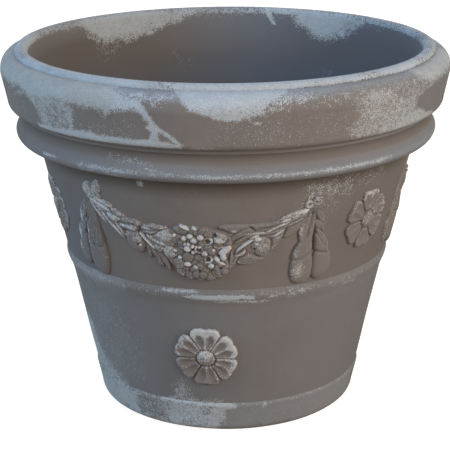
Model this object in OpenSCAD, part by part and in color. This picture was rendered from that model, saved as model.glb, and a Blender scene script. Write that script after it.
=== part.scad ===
// Festoon planter: a round garden pot of grey-brown clay, built up from a floor
// slab, two wall sections and rolled bands, and dressed with pressed garlands,
// hanging fruit and rosettes that are stuck on to the wall with clay slip.
//
// The origin is the centre of the underside and Z points up. The front is the
// -Y side. An azimuth is in degrees from the front, towards +X.

/* [Pot] */
// Height from the ground to the top of the lip
pot_h = 411; // [400:1:430]
// Outer diameter of the wall at the ground line
base_d = 292; // [276:1:304]
// Outer diameter of the wall at the waist band
waist_d = 364; // [352:1:376]
// Thickness of the wall, measured level
wall_t = 14; // [10:0.5:18]
// Thickness of the floor slab
floor_t = 20; // [14:1:28]
// Diameter of the drainage hole
drain_d = 32; // [20:1:50]
// Rounding of the lip
lip_round = 5.5; // [2:0.5:7]
// Thickness of the slip between a stuck-on piece and the wall
slip = 0.3; // [0.2:0.05:0.5]

/* [Foot] */
// Height of the foot ring
foot_h = 37; // [32:1:44]
// How far the foot ring stands out from the wall
foot_out = 1.8; // [1:0.2:5]
// Rounding of the foot ring where it meets the ground
foot_round = 6; // [2:1:8]
// Height of the bevel on top of the foot ring
foot_bevel = 3; // [1:0.5:5]

/* [Waist] */
// Height of the band that covers the joint between the two wall sections
waist_h = 24; // [16:1:28]
// How far the band stands out from the wall
waist_out = 3; // [2:0.5:6]

/* [Rim] */
// Overall diameter of the rim
rim_d = 500; // [450:1:540]
// How far the rim's arris stands out from the lip
rim_out = 14; // [11:0.5:18]
// Height of the rim roll
rim_h = 59; // [50:1:64]
// How far the lip stands above the shoulder of the rim
lip_rise = 6; // [3:0.5:10]
// Height of the rounded shoulder, above the arris
shoulder_h = 17; // [12:1:22]
// How far the face of the rim leans in towards its lower edge
rim_lean = 6; // [2:0.5:8]
// Rounding of the rim's lower edge
rim_round = 9; // [4:1:10]
// Height of the narrow neck strip under the rim
neck_h = 5; // [2:0.5:8]
// How far the neck strip stands out from the wall
neck_out = 12; // [8:0.5:13]

/* [Collar] */
// Height of the collar roll
collar_h = 33; // [28:1:36]
// How far the collar's crest stands out from the wall
collar_out = 22; // [16:0.5:24]
// Rounding of the collar's lower lip
collar_round = 8; // [5:0.5:9]
// How far the collar's top is drawn in under the neck strip
collar_tuck = 1.5; // [0.5:0.5:3]

/* [Garlands] */
// Azimuth of the middle of the front garland
garland_turn = -8.8; // [-20:0.2:20]
// Distance along the wall from knot to knot
garland_w = 243; // [230:1:250]
// Height of the plain wall that carries the garlands, from waist band to collar
frieze_h = 127; // [122:1:136]
// Drop from the collar to the knots
knot_drop = 32; // [26:1:36]
// Width of the ribbon bow that ties a knot
bow_w = 25; // [20:0.5:28]
// Height of the ribbon bow
bow_h = 20; // [16:0.5:24]
// How far a bow stands out
bow_rise = 5; // [3:0.5:8]
// Width of a middling leaf
leaf_w = 9; // [7:0.5:11]
// How far the leaves stand out
leaf_rise = 4.5; // [3:0.5:7]
// Height of the largest fruit among the leaves
fruit_h = 24; // [20:0.5:28]
// How far the fruit among the leaves stands out
fruit_rise = 7; // [5:0.5:9]
// Width of a flower posy
posy_w = 62; // [54:1:66]
// Height of a flower posy
posy_h = 61; // [52:1:64]
// Drop from the knots to the middle of the posy
posy_drop = 51; // [46:1:54]
// How far the flowers stand out
flower_rise = 8; // [5:0.5:10]
// Length of a hanging fruit with its leaves
drop_l = 80; // [70:1:84]
// Width of a hanging fruit
drop_w = 26; // [22:0.5:28]
// How far the pair of hanging fruits lies out from under the knot
drop_out = 5; // [0:0.5:8]
// How far a hanging fruit stands out
drop_rise = 7; // [5:0.5:9]

/* [Rosettes] */
// Diameter of a rosette
rosette_d = 67; // [56:1:72]
// How far the raised edges of the petals stand out
petal_rise = 5; // [3:0.5:7]
// Diameter of the button in the middle
button_d = 18.6; // [14:0.2:22]
// How far the button stands out
button_rise = 7; // [5:0.5:9]
// Turn from the middle of a garland to the upper rosette beside it
rosette_turn = 59; // [56:0.5:62]
// Drop from the collar to the upper rosettes' middles
rosette_drop = 70; // [64:1:76]

/* [Hidden] */
$fn = 96;

garlands = 3;
arc_steps = 8;
clay = [0.44, 0.41, 0.39];
worn_clay = [0.53, 0.52, 0.51];

rim_top_z = pot_h - lip_rise;
rim_low_z = rim_top_z - rim_h;
neck_low_z = rim_low_z - neck_h;
collar_low_z = neck_low_z - collar_h;
arris_z = rim_top_z - shoulder_h;
waist_z = collar_low_z - frieze_h - waist_h / 2;
knot_z = collar_low_z - knot_drop;
upper_rosette_z = collar_low_z - rosette_drop;
lower_rosette_z = (foot_h + waist_z - waist_h / 2) / 2;
lip_d = rim_d - 2 * rim_out;

// The wall is two straight cones that meet at the waist.
function wall_r(z) = z < waist_z
    ? (base_d + (waist_d - base_d) * z / waist_z) / 2
    : (waist_d + (lip_d - waist_d) * (z - waist_z) / (pot_h - waist_z)) / 2;

function mix(a, b, t) = a + (b - a) * t;

// Points on an arc in the profile plane, from one angle to another
function arc(centre, size, from, to) = [
    for (i = [0 : arc_steps])
        let (a = mix(from, to, i / arc_steps))
            [centre[0] + size[0] * cos(a), centre[1] + size[1] * sin(a)]
];

// The wall's outer face, with the slip on it, between two heights
function seat(low, high) = concat(
    [[wall_r(high) + slip, high]],
    low < waist_z && waist_z < high ? [[wall_r(waist_z) + slip, waist_z]] : [],
    [[wall_r(low) + slip, low]]
);

// Pot body

module floor_slab() color(clay)
    difference() {
        cylinder(h = floor_t, r = wall_r(floor_t) - wall_t - slip);
        translate([0, 0, -1]) cylinder(h = floor_t + 2, d = drain_d);
    }

module foot_ring() color(clay)
    rotate_extrude() polygon(concat(
        [[wall_r(floor_t) - wall_t, 0]],
        arc([wall_r(foot_round) + foot_out - foot_round, foot_round], [foot_round, foot_round], -90, 0),
        [
            [wall_r(foot_h - foot_bevel) + foot_out, foot_h - foot_bevel],
            [wall_r(foot_h), foot_h],
            [wall_r(foot_h) - wall_t, foot_h],
            [wall_r(floor_t) - wall_t, floor_t],
        ]
    ));

module lower_wall() color(clay)
    rotate_extrude() polygon([
        [wall_r(foot_h), foot_h],
        [wall_r(waist_z), waist_z],
        [wall_r(waist_z) - wall_t, waist_z],
        [wall_r(foot_h) - wall_t, foot_h],
    ]);

module upper_wall() color(clay) {
    round_r = min(lip_round, wall_t / 2);
    lip_z = pot_h - round_r;
    rotate_extrude() polygon(concat(
        [[wall_r(waist_z), waist_z]],
        arc([wall_r(lip_z) - round_r, lip_z], [round_r, round_r], 0, 90),
        arc([wall_r(lip_z) - wall_t + round_r, lip_z], [round_r, round_r], 90, 180),
        [[wall_r(waist_z) - wall_t, waist_z]]
    ));
}

// A band whose crest sits high, so that its lower side is a long slope
module waist_band() color(clay) {
    low = waist_z - waist_h / 2;
    crest = 1.8;
    edge = 0.1;
    rotate_extrude() polygon(concat(
        [
            for (i = [0 : 2 * arc_steps])
                let (t = i / (2 * arc_steps), z = low + waist_h * t)
                    [wall_r(z) + slip + waist_out * (edge + (1 - edge) * sin(180 * pow(t, crest))), z]
        ],
        seat(low, low + waist_h)
    ));
}

module collar_roll() color(clay) {
    lip_z = collar_low_z + collar_round;
    lip_r = wall_r(lip_z) + collar_out - collar_round;
    lip_turn = 25;
    crest = [lip_r + collar_round * cos(lip_turn), lip_z + collar_round * sin(lip_turn)];
    top = [wall_r(neck_low_z) + neck_out - collar_tuck, neck_low_z];
    rotate_extrude() polygon(concat(
        arc([lip_r, lip_z], [collar_round, collar_round], -90, lip_turn),
        [
            for (i = [1 : arc_steps])
                let (t = i / arc_steps)
                    [mix(crest[0], top[0], t * (2 - t)), mix(crest[1], top[1], t)]
        ],
        seat(collar_low_z, neck_low_z)
    ));
}

module rim_roll() color(worn_clay) {
    neck_r = wall_r(neck_low_z) + neck_out;
    low_r = rim_d / 2 - rim_lean;
    shoulder_r = wall_r(rim_top_z) + slip;
    rotate_extrude() polygon(concat(
        [[neck_r, neck_low_z], [neck_r, rim_low_z]],
        arc([low_r - rim_round, rim_low_z + rim_round], [rim_round, rim_round], -90, 0),
        arc([shoulder_r, arris_z], [rim_d / 2 - shoulder_r, shoulder_h], 0, 90),
        seat(neck_low_z, rim_top_z)
    ));
}

// Relief: every piece is drawn in millimetres across and up from its own place
// on the wall, a place being [azimuth, height], and each point is then bent
// round the wall at its own height above it.

function on_wall(place, across, up, rise) =
    let (
        z = place[1] + up,
        turn = place[0] + across / wall_r(place[1]) * 180 / PI,
        r = wall_r(z) + rise
    ) [r * sin(turn), -r * cos(turn), z];

sunk = 2;

module hull_of(points)
    hull() polyhedron(points, [[for (i = [0 : len(points) - 1]) i]]);

// A low dome on an oval, turned anticlockwise
module lump(place, at, size, turn, rise, sides = 6)
    hull_of([
        for (ring = [[1, -sunk], [1, rise * 0.4], [0.6, rise]])
            for (k = [0 : sides - 1])
                let (
                    a = 360 * k / sides,
                    u = size[0] * ring[0] * cos(a),
                    v = size[1] * ring[0] * sin(a)
                )
                    on_wall(
                        place,
                        at[0] + u * cos(turn) - v * sin(turn),
                        at[1] + u * sin(turn) + v * cos(turn),
                        ring[1]
                    )
    ]);

// Stations along a leaf, as [share of its length, of its width, of its rise]
leaf_stations = [[0, 0.35, 0.7], [0.3, 1, 1], [0.7, 0.8, 0.9], [1, 0.08, 0.4]];

// A pointed leaf with a ridge down its middle
module leaf(place, base, tip, width, rise) {
    way = tip - base;
    side = [-way[1], way[0]] / norm(way) * width / 2;
    hull_of([
        for (s = leaf_stations)
            for (edge = [[0, rise * s[2]], [-1, -sunk], [1, -sunk], [-1, rise * 0.35], [1, rise * 0.35]])
                let (p = base + way * s[0] + side * s[1] * edge[0])
                    on_wall(place, p[0], p[1], edge[1])
    ]);
}

// What the wall and its slip take up, cut away behind each piece
module wall_core()
    rotate_extrude($fn = 144) polygon([
        [0, -1],
        [wall_r(-1) + slip, -1],
        [wall_r(waist_z) + slip, waist_z],
        [wall_r(pot_h) + slip, pot_h],
        [0, pot_h],
    ]);

// An oval plug that points straight out of the wall
plug_l = 60;

module plug(place, across, up, size)
    rotate(place[0] + across / wall_r(place[1]) * 180 / PI)
        translate([0, -wall_r(place[1] + up), place[1] + up])
            rotate([90, 0, 0])
                scale([size[0], size[1], 1])
                    cylinder(h = plug_l, r = 1, center = true, $fn = 32);

// The leaf, fruit and flower lists are drawn in millimetres for a garland, a
// leaf, a fruit and a posy of these sizes, and stretch with them.
drawn_half = 118;
drawn_drop = 51;
drawn_leaf = 9;
drawn_fruit = 24;
drawn_posy = [62, 61];
knot_x = garland_w / 2;
stretch = [knot_x / drawn_half, posy_drop / drawn_drop];
posy_size = [posy_w, posy_h];

function garland_place(i) = [garland_turn + 360 * i / garlands, knot_z];
function knot_place(i, hand) = garland_place(i) + [hand * knot_x / wall_r(knot_z) * 180 / PI, 0];
function fit(p, scales) = [p[0] * scales[0], p[1] * scales[1]];

// Leaves as [base, tip, width], and fruit as [middle, half sizes]
left_leaves = [
    [[-121, -6], [-94, -10], 8],
    [[-112, -9], [-78, -19], 9],
    [[-96, -12], [-70, -21], 9],
    [[-119, -7], [-82, -41], 10],
    [[-121, -8], [-101, -29], 10],
    [[-106, -14], [-74, -31], 9],
    [[-86, -26], [-62, -30], 9],
    [[-82, -34], [-79, -52], 7],
    [[-74, -20], [-37, -22], 8],
    [[-64, -27], [-28, -25], 9],
    [[-58, -31], [-24, -37], 11],
    [[-62, -33], [-30, -46], 10],
    [[-61, -35], [-46, -58], 9],
    [[-56, -52], [-39, -70], 9],
    [[-46, -50], [-29, -75], 10],
];
left_fruit = [[[-70, -46], [10, 12]]];
right_leaves = [
    [[115, -8], [85, -18], 8],
    [[94, -14], [20, -22], 8],
    [[84, -21], [37, -27], 9],
    [[87, -24], [56, -30], 8],
    [[64, -28], [31, -47], 10],
    [[62, -37], [38, -54], 8],
    [[89, -25], [77, -50], 9],
    [[113, -12], [89, -37], 13],
    [[46, -37], [33, -71], 8],
    [[42, -44], [38, -64], 7],
    [[50, -28], [26, -34], 9],
];
right_fruit = [[[65, -47], [12, 12]], [[50, -56], [9, 8]]];

module spray(i, leaves, fruit, hand) color(worn_clay) {
    place = garland_place(i);
    difference() {
        union() {
            for (l = leaves)
                leaf(place, fit(l[0], stretch), fit(l[1], stretch), l[2] * leaf_w / drawn_leaf, leaf_rise);
            for (f = fruit)
                lump(place, fit(f[0], stretch), f[1] * fruit_h / drawn_fruit, 0, fruit_rise, 12);
        }
        wall_core();
        plug(place, 0, -posy_drop, posy_size / 2 + [slip, slip]);
        bow_room(i, hand);
        drop_room(i, hand);
    }
}

// Flowers as [middle, radius], from the top of the posy down
flowers = [
    [[-12, 24], 7], [[3, 23], 7], [[19, 17], 9], [[-23, 12], 7], [[-2, 9], 8],
    [[12, 4], 6], [[-12, -1], 8], [[-24, -4], 6], [[24, -2], 7], [[3, -7], 6],
    [[-12, -18], 8], [[14, -17], 8], [[1, -23], 6],
];
posy_shares = [for (i = [1 : 9]) i / 9];
posy_sides = 54;
posy_bed = 0.4;

// Each flower is a dome that rises from the bed.
function posy_swell(p) = max([
    posy_bed,
    for (f = flowers)
        let (far = norm(p - f[0]) / f[1])
            if (far < 1) mix(posy_bed, 1, sqrt(1 - far * far))
]);

// Points on rings that grow out to an oval, as [across, up] pairs of its size
function oval_points(shares, count, size) = [
    for (share = shares) for (k = [0 : count - 1])
        share / 2 * fit(size, [cos(360 * k / count), sin(360 * k / count)])
];

// The flowers stand on a bed of leaves that fills the posy's oval.
module posy(i) color(worn_clay) {
    drawn = oval_points(posy_shares, posy_sides, drawn_posy);
    front = oval_points(posy_shares, posy_sides, posy_size);
    rim_from = len(drawn) - posy_sides;
    solid_of_rings(garland_place(i) - [0, posy_drop], posy_sides, concat(
        [[0, 0, flower_rise * posy_swell([0, 0])]],
        [
            for (n = [0 : len(front) - 1])
                concat(front[n], [flower_rise * (n < rim_from ? posy_swell(drawn[n]) : posy_bed)])
        ],
        [for (p = oval_points([1, 0.5], posy_sides, posy_size)) concat(p, [slip])],
        [[0, 0, slip]]
    ));
}

// A closed solid from a front point, rings of points and a back point, each
// given as millimetres across, up and out from the wall
module solid_of_rings(place, count, points) {
    sides = [0 : count - 1];
    rings = (len(points) - 2) / count;
    last = len(points) - 1;
    polyhedron(
        [for (p = points) on_wall(place, p[0], p[1], p[2])],
        concat(
            [for (k = sides) [0, ring_index(count, 0, k + 1), ring_index(count, 0, k)]],
            [
                for (ring = [0 : rings - 2]) for (k = sides) [
                    ring_index(count, ring, k),
                    ring_index(count, ring, k + 1),
                    ring_index(count, ring + 1, k),
                ]
            ],
            [
                for (ring = [0 : rings - 2]) for (k = sides) [
                    ring_index(count, ring, k + 1),
                    ring_index(count, ring + 1, k + 1),
                    ring_index(count, ring + 1, k),
                ]
            ],
            [
                for (k = sides)
                    [last, ring_index(count, rings - 1, k), ring_index(count, rings - 1, k + 1)]
            ]
        )
    );
}

function ring_index(count, ring, k) = 1 + ring * count + k % count;

// A ribbon bow: a hollow loop of ribbon on each side of a tight middle
bow_shares = [0.2, 0.4, 0.6, 0.8, 0.93, 1];
bow_sides = 24;
bow_pinch = 0.3;

// The share of its oval that a bow fills: it is pinched above and below its middle.
function bow_reach(k) = 1 - bow_pinch * pow(sin(360 * k / bow_sides), 4);

// The ribbon swells along the middle line of its loops.
function bow_swell(p) =
    let (
        loop = [abs(p[0]) / bow_w - 0.24, p[1] / bow_h - 0.04],
        far = norm(fit(loop, [4.6, 3.2]))
    ) max(0.4, 1 - 0.6 * pow(abs(far - 0.62) / 0.4, 2), norm(fit(p, [2 / bow_w, 2 / bow_h])) < 0.3 ? 1 : 0);

module bow(i, hand) color(worn_clay) {
    size = [bow_w, bow_h];
    front = oval_points(bow_shares, bow_sides, size);
    rim_from = len(front) - bow_sides;
    solid_of_rings(knot_place(i, hand), bow_sides, concat(
        [[0, 0, bow_rise]],
        [
            for (n = [0 : len(front) - 1])
                let (p = front[n] * bow_reach(n % bow_sides))
                    concat(p, [bow_rise * (n < rim_from ? bow_swell(p) : 0.3)])
        ],
        [
            for (k = [0 : bow_sides - 1])
                concat(oval_points([1], bow_sides, size)[k] * bow_reach(k), [slip])
        ],
        [[0, 0, slip]]
    ));
}

// The oval that a bow keeps clear of its neighbours
module bow_room(i, hand)
    plug(knot_place(i, hand), 0, 0, [bow_w, bow_h] / 2 + [slip, slip]);

tie_y = -bow_h * 0.35;
fruit_y = tie_y - drop_l + drop_w * 0.6;
husk_y = fruit_y + drop_w * 0.35;
fruit_size = [0.5, 0.6] * drop_w;
fruit_gap = 1;

// The middle of the fruit nearer to the garland, or of the one beyond it
function fruit_x(side) = drop_out + side * (drop_w + fruit_gap) / 2;

// Two fruits that hang side by side, each in a husk of leaves
module drops(i, hand) color(worn_clay) {
    place = knot_place(i, hand);
    tip_rise = 6;
    difference() {
        union()
            for (side = [-1, 1]) {
                x = fruit_x(side);
                tie = [hand * x * 0.3, tie_y];
                hull() {
                    lump(place, [hand * x, fruit_y], fruit_size, 0, drop_rise, 12);
                    lump(place, [hand * x * 0.8, husk_y + drop_w * 0.4], fruit_size * 0.6, 0, drop_rise * 0.8);
                }
                for (k = [-1, 0, 1])
                    leaf(
                        place, tie, [hand * x + k * drop_w * 0.3, husk_y + tip_rise * abs(k)], drop_w * 0.36,
                        drop_rise + 0.5
                    );
                leaf(place, tie, [hand * x * 1.2, tie_y - drop_l * 0.45], drop_w * 0.35, leaf_rise);
            }
        wall_core();
        bow_room(i, hand);
    }
}

// What the inner hanging fruit and its leaves take up of the garland's room
module drop_room(i, hand)
    hull() {
        plug(knot_place(i, hand), 0, tie_y, [0.4, 0.4] * drop_w);
        plug(knot_place(i, hand), hand * fruit_x(-1), fruit_y, fruit_size + [slip, slip]);
    }

// Rings of a rosette, as [share of the radius, rise at the groove between two
// petals, at a petal's edge, in its hollow, and on its middle rib]
petal_rings = [
    [0.30, 0.25, 0.25, 0.25, 0.25],
    [0.38, 0.25, 0.70, 0.60, 0.70],
    [0.62, 0.25, 0.80, 0.45, 0.70],
    [0.84, 0.25, 0.95, 0.50, 0.85],
    [0.93, 0.30, 1.00, 1.00, 0.95],
    [1.00, 0.30, 0.45, 0.50, 0.40],
];
petal_steps = [[-30, 1], [-26, 2], [-14, 3], [0, 4], [14, 3], [26, 2]];
petals = 6;
button_rings = [[0.55, 0.95], [0.92, 0.6]];
rosette_sides = petals * len(petal_steps);

function step_of(k) = petal_steps[k % len(petal_steps)];

// A petal's outline is drawn in at the grooves and at its middle rib.
function outline(k) = [0, 0.93, 1, 1.01, 0.98][step_of(k)[1]];

// A point of a rosette: the petals above the button are a little longer.
function rosette_point(k, share, reach, rise) =
    let (
        a = 90 + 360 / petals * floor(k / len(petal_steps)) + step_of(k)[0],
        r = rosette_d / 2 * share * (1 + reach * 0.05 * sin(a))
    ) [r * cos(a), r * sin(a), rise];

module rosette(place) color(worn_clay) {
    sides = [0 : rosette_sides - 1];
    solid_of_rings(place, rosette_sides, concat(
        [[0, 0, button_rise]],
        [
            for (ring = button_rings) for (k = sides)
                rosette_point(k, button_d / rosette_d * ring[0], 0, button_rise * ring[1])
        ],
        [
            for (ring = petal_rings) for (k = sides)
                rosette_point(k, ring[0] * outline(k), ring[0], petal_rise * ring[step_of(k)[1]])
        ],
        [for (share = [1, 0.5]) for (k = sides) rosette_point(k, share * outline(k), share, slip)],
        [[0, 0, slip]]
    ));
}

floor_slab();
foot_ring();
lower_wall();
waist_band();
upper_wall();
collar_roll();
rim_roll();
for (i = [0 : garlands - 1]) {
    spray(i, left_leaves, left_fruit, -1);
    spray(i, right_leaves, right_fruit, 1);
    posy(i);
    bow(i, -1);
    bow(i, 1);
    drops(i, -1);
    drops(i, 1);
    rosette([garland_place(i)[0] + rosette_turn, upper_rosette_z]);
    rosette([garland_place(i)[0], lower_rosette_z]);
}
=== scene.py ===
"""The looks of the festoon planter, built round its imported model.

Every length is in millimetres until a mesh is made. An azimuth is in degrees
from the front of the pot, towards +X, and a height is measured from the ground.
"""

import math

import bpy
import numpy as np
from mathutils import Matrix, Vector


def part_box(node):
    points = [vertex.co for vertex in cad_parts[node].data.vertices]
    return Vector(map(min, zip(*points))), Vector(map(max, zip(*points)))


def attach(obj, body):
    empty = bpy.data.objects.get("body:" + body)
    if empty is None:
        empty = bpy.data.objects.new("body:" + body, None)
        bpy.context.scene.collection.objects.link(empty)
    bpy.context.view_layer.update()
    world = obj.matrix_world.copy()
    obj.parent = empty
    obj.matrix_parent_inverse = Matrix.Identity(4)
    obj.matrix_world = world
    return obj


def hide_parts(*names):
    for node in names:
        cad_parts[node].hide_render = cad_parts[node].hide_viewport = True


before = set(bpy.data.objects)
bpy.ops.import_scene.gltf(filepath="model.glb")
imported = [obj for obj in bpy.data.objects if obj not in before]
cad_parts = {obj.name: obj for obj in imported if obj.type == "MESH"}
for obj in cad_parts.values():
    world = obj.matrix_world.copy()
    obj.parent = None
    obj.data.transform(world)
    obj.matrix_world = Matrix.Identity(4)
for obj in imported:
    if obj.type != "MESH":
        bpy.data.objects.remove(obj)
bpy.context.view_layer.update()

# The camera
# It stands in front of the pot, above the rim, and looks down into the mouth.
mm = 0.001
camera_place = Vector((-1.44, -1583.6, 707.7)) * mm
camera_pitch = math.radians(18.01)
camera_roll = math.radians(0.39)
camera_lens = 114.0

ahead = Vector((0, math.cos(camera_pitch), -math.sin(camera_pitch)))
level = Vector((1, 0, 0))
upright = level.cross(ahead)
right = math.cos(camera_roll) * level - math.sin(camera_roll) * upright
up = math.sin(camera_roll) * level + math.cos(camera_roll) * upright

camera = bpy.data.objects.new("camera", bpy.data.cameras.new("camera"))
camera.data.lens = camera_lens
camera.data.sensor_width = 36
camera.data.clip_end = 50
camera.matrix_world = Matrix.Translation(camera_place) @ Matrix((right, up, -ahead)).transposed().to_4x4()
bpy.context.scene.collection.objects.link(camera)
bpy.context.scene.camera = camera

# Floor slab
# A rolled disc of clay that the pot stands on, with a drainage hole cut through
# it. The foot ring is luted round its edge.
floor_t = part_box("floor_slab")[1].z / mm
floor_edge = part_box("floor_slab")[1].x / mm
drain_r = 16
drain_wear = 2
drain_wear_below = 1.5
true_within = 60


def ripple(az, z, seed, across, up, waves=7):
    """A smooth, seamless drift round the pot, mostly between -1 and 1."""
    chance = np.random.default_rng(seed)
    turn = np.radians(az)
    total = np.zeros(np.broadcast(az, z).shape)
    for _ in range(waves):
        steps = chance.integers(-across, across + 1)
        rise = chance.uniform(-1, 1) * 2 * math.pi / up
        total = total + np.cos(steps * turn + rise * z + chance.uniform(0, 2 * math.pi))
    return total / math.sqrt(waves / 2)


def waver(az, z):
    """How far the hand-finished clay strays from a true circle, in millimetres."""
    return 0.22 * ripple(az, z, 3, 5, 260) + 0.13 * ripple(az, z, 4, 14, 90)


def step_along(outline, step):
    """The outline's own points, with more between them so that none is far from the next."""
    points = []
    for (r0, z0), (r1, z1) in zip(outline, outline[1:] + outline[:1]):
        count = max(1, math.ceil(math.hypot(r1 - r0, z1 - z0) / step))
        points += [(r0 + (r1 - r0) * k / count, z0 + (z1 - z0) * k / count) for k in range(count)]
    return np.array(points)


def solid(name, points, quads, **fields):
    """A smooth closed mesh from points in millimetres, with a value at each point for each field."""
    mesh = bpy.data.meshes.new(name)
    mesh.vertices.add(len(points))
    mesh.vertices.foreach_set("co", np.asarray(points, np.float32).ravel() * mm)
    mesh.loops.add(quads.size)
    mesh.loops.foreach_set("vertex_index", quads.astype(np.int32).ravel())
    mesh.polygons.add(len(quads))
    mesh.polygons.foreach_set("loop_start", np.arange(0, quads.size, 4, dtype=np.int32))
    mesh.polygons.foreach_set("loop_total", np.full(len(quads), 4, np.int32))
    mesh.polygons.foreach_set("use_smooth", np.ones(len(quads), bool))
    mesh.update()
    mesh.validate()
    for field, values in fields.items():
        layer = mesh.attributes.new(field, "FLOAT", "POINT")
        layer.data.foreach_set("value", np.clip(values, 0, 1).astype(np.float32).ravel())
    piece = bpy.data.objects.new(name, mesh)
    bpy.context.scene.collection.objects.link(piece)
    return piece


def turned(name, outline, wash=None, step=2.0, around=720, crease=35):
    """A piece of the pot's body, turned from a closed outline of radii and heights.

    wash(az, z, r) gives the fields of the old wash, such as its cover, at each point.
    Near the axis the clay strays less, so that a hole there stays round."""
    profile = step_along(outline, step)
    az = np.arange(around) * 360 / around - 180
    az, r = np.meshgrid(az, profile[:, 0])
    z = np.meshgrid(np.arange(around), profile[:, 1])[1]
    fields = wash(az, z, r) if wash else {}
    reach = r + waver(az, z) * np.clip(r / true_within - 1, 0, 1)
    turn = np.radians(az)
    points = np.stack([reach * np.sin(turn), -reach * np.cos(turn), z], -1).reshape(-1, 3)
    rows, columns = profile.shape[0], around
    index = np.arange(rows * columns).reshape(rows, columns)
    after = np.roll(index, -1, 1)
    above = np.roll(index, -1, 0)
    corner = np.roll(after, -1, 0)
    quads = np.stack([index, after, corner, above], -1).reshape(-1, 4)
    piece = solid(name, points, quads, **fields)
    piece.data.set_sharp_from_angle(angle=math.radians(crease))
    return piece


def node_of(material, kind, **values):
    """A new shader node, with its settings and the values on its sockets."""
    node = material.node_tree.nodes.new(kind)
    for name, value in values.items():
        if name in node.inputs:
            node.inputs[name].default_value = value
        else:
            setattr(node, name, value)
    return node


def join(material, start, end):
    """Links one socket to another."""
    material.node_tree.links.new(start, end)


def blended(material, share, first, second):
    """A colour mixed from two colours or outputs, by a share that an output gives."""
    mix = node_of(material, "ShaderNodeMix", data_type="RGBA")
    join(material, share, mix.inputs[0])
    for socket, colour in ((mix.inputs[6], first), (mix.inputs[7], second)):
        if isinstance(colour, tuple):
            socket.default_value = linear(colour)
        else:
            join(material, colour, socket)
    return mix.outputs[2]


def linear(colour):
    """A colour as the shader wants it, from red, green and blue out of 255."""
    shares = [c / 255 for c in colour]
    return [c / 12.92 if c < 0.04045 else ((c + 0.055) / 1.055) ** 2.4 for c in shares] + [1]


def grain(material, place, scale, detail=3.0, rough=0.6):
    """Cloudy noise in the clay, scale being how many clouds there are in a metre."""
    noise = node_of(material, "ShaderNodeTexNoise", Scale=scale, Detail=detail, Roughness=rough)
    join(material, place, noise.inputs["Vector"])
    return noise.outputs["Fac"]


def span(material, value, low, high, to_low=0.0, to_high=1.0, smooth=True):
    """A value carried from one range to another."""
    kind = "SMOOTHSTEP" if smooth else "LINEAR"
    node = node_of(material, "ShaderNodeMapRange", interpolation_type=kind)
    join(material, value, node.inputs["Value"])
    for name, number in (("From Min", low), ("From Max", high), ("To Min", to_low), ("To Max", to_high)):
        node.inputs[name].default_value = number
    return node.outputs["Result"]


def sum_of(material, kind, first, second):
    """Two values put together by a Math node; the second may be a plain number."""
    node = node_of(material, "ShaderNodeMath", operation=kind)
    join(material, first, node.inputs[0])
    if isinstance(second, float):
        node.inputs[1].default_value = second
    else:
        join(material, second, node.inputs[1])
    return node.outputs[0]


dark_clay = (111, 101, 93)
light_clay = (124, 114, 105)
grey_wash = (170, 168, 160)
pale_and_sky_lit_wash = (182, 187, 189)
shaded_clay = (91, 80, 69)
cool_tone_and_light_clay = (98, 103, 110)


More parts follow.
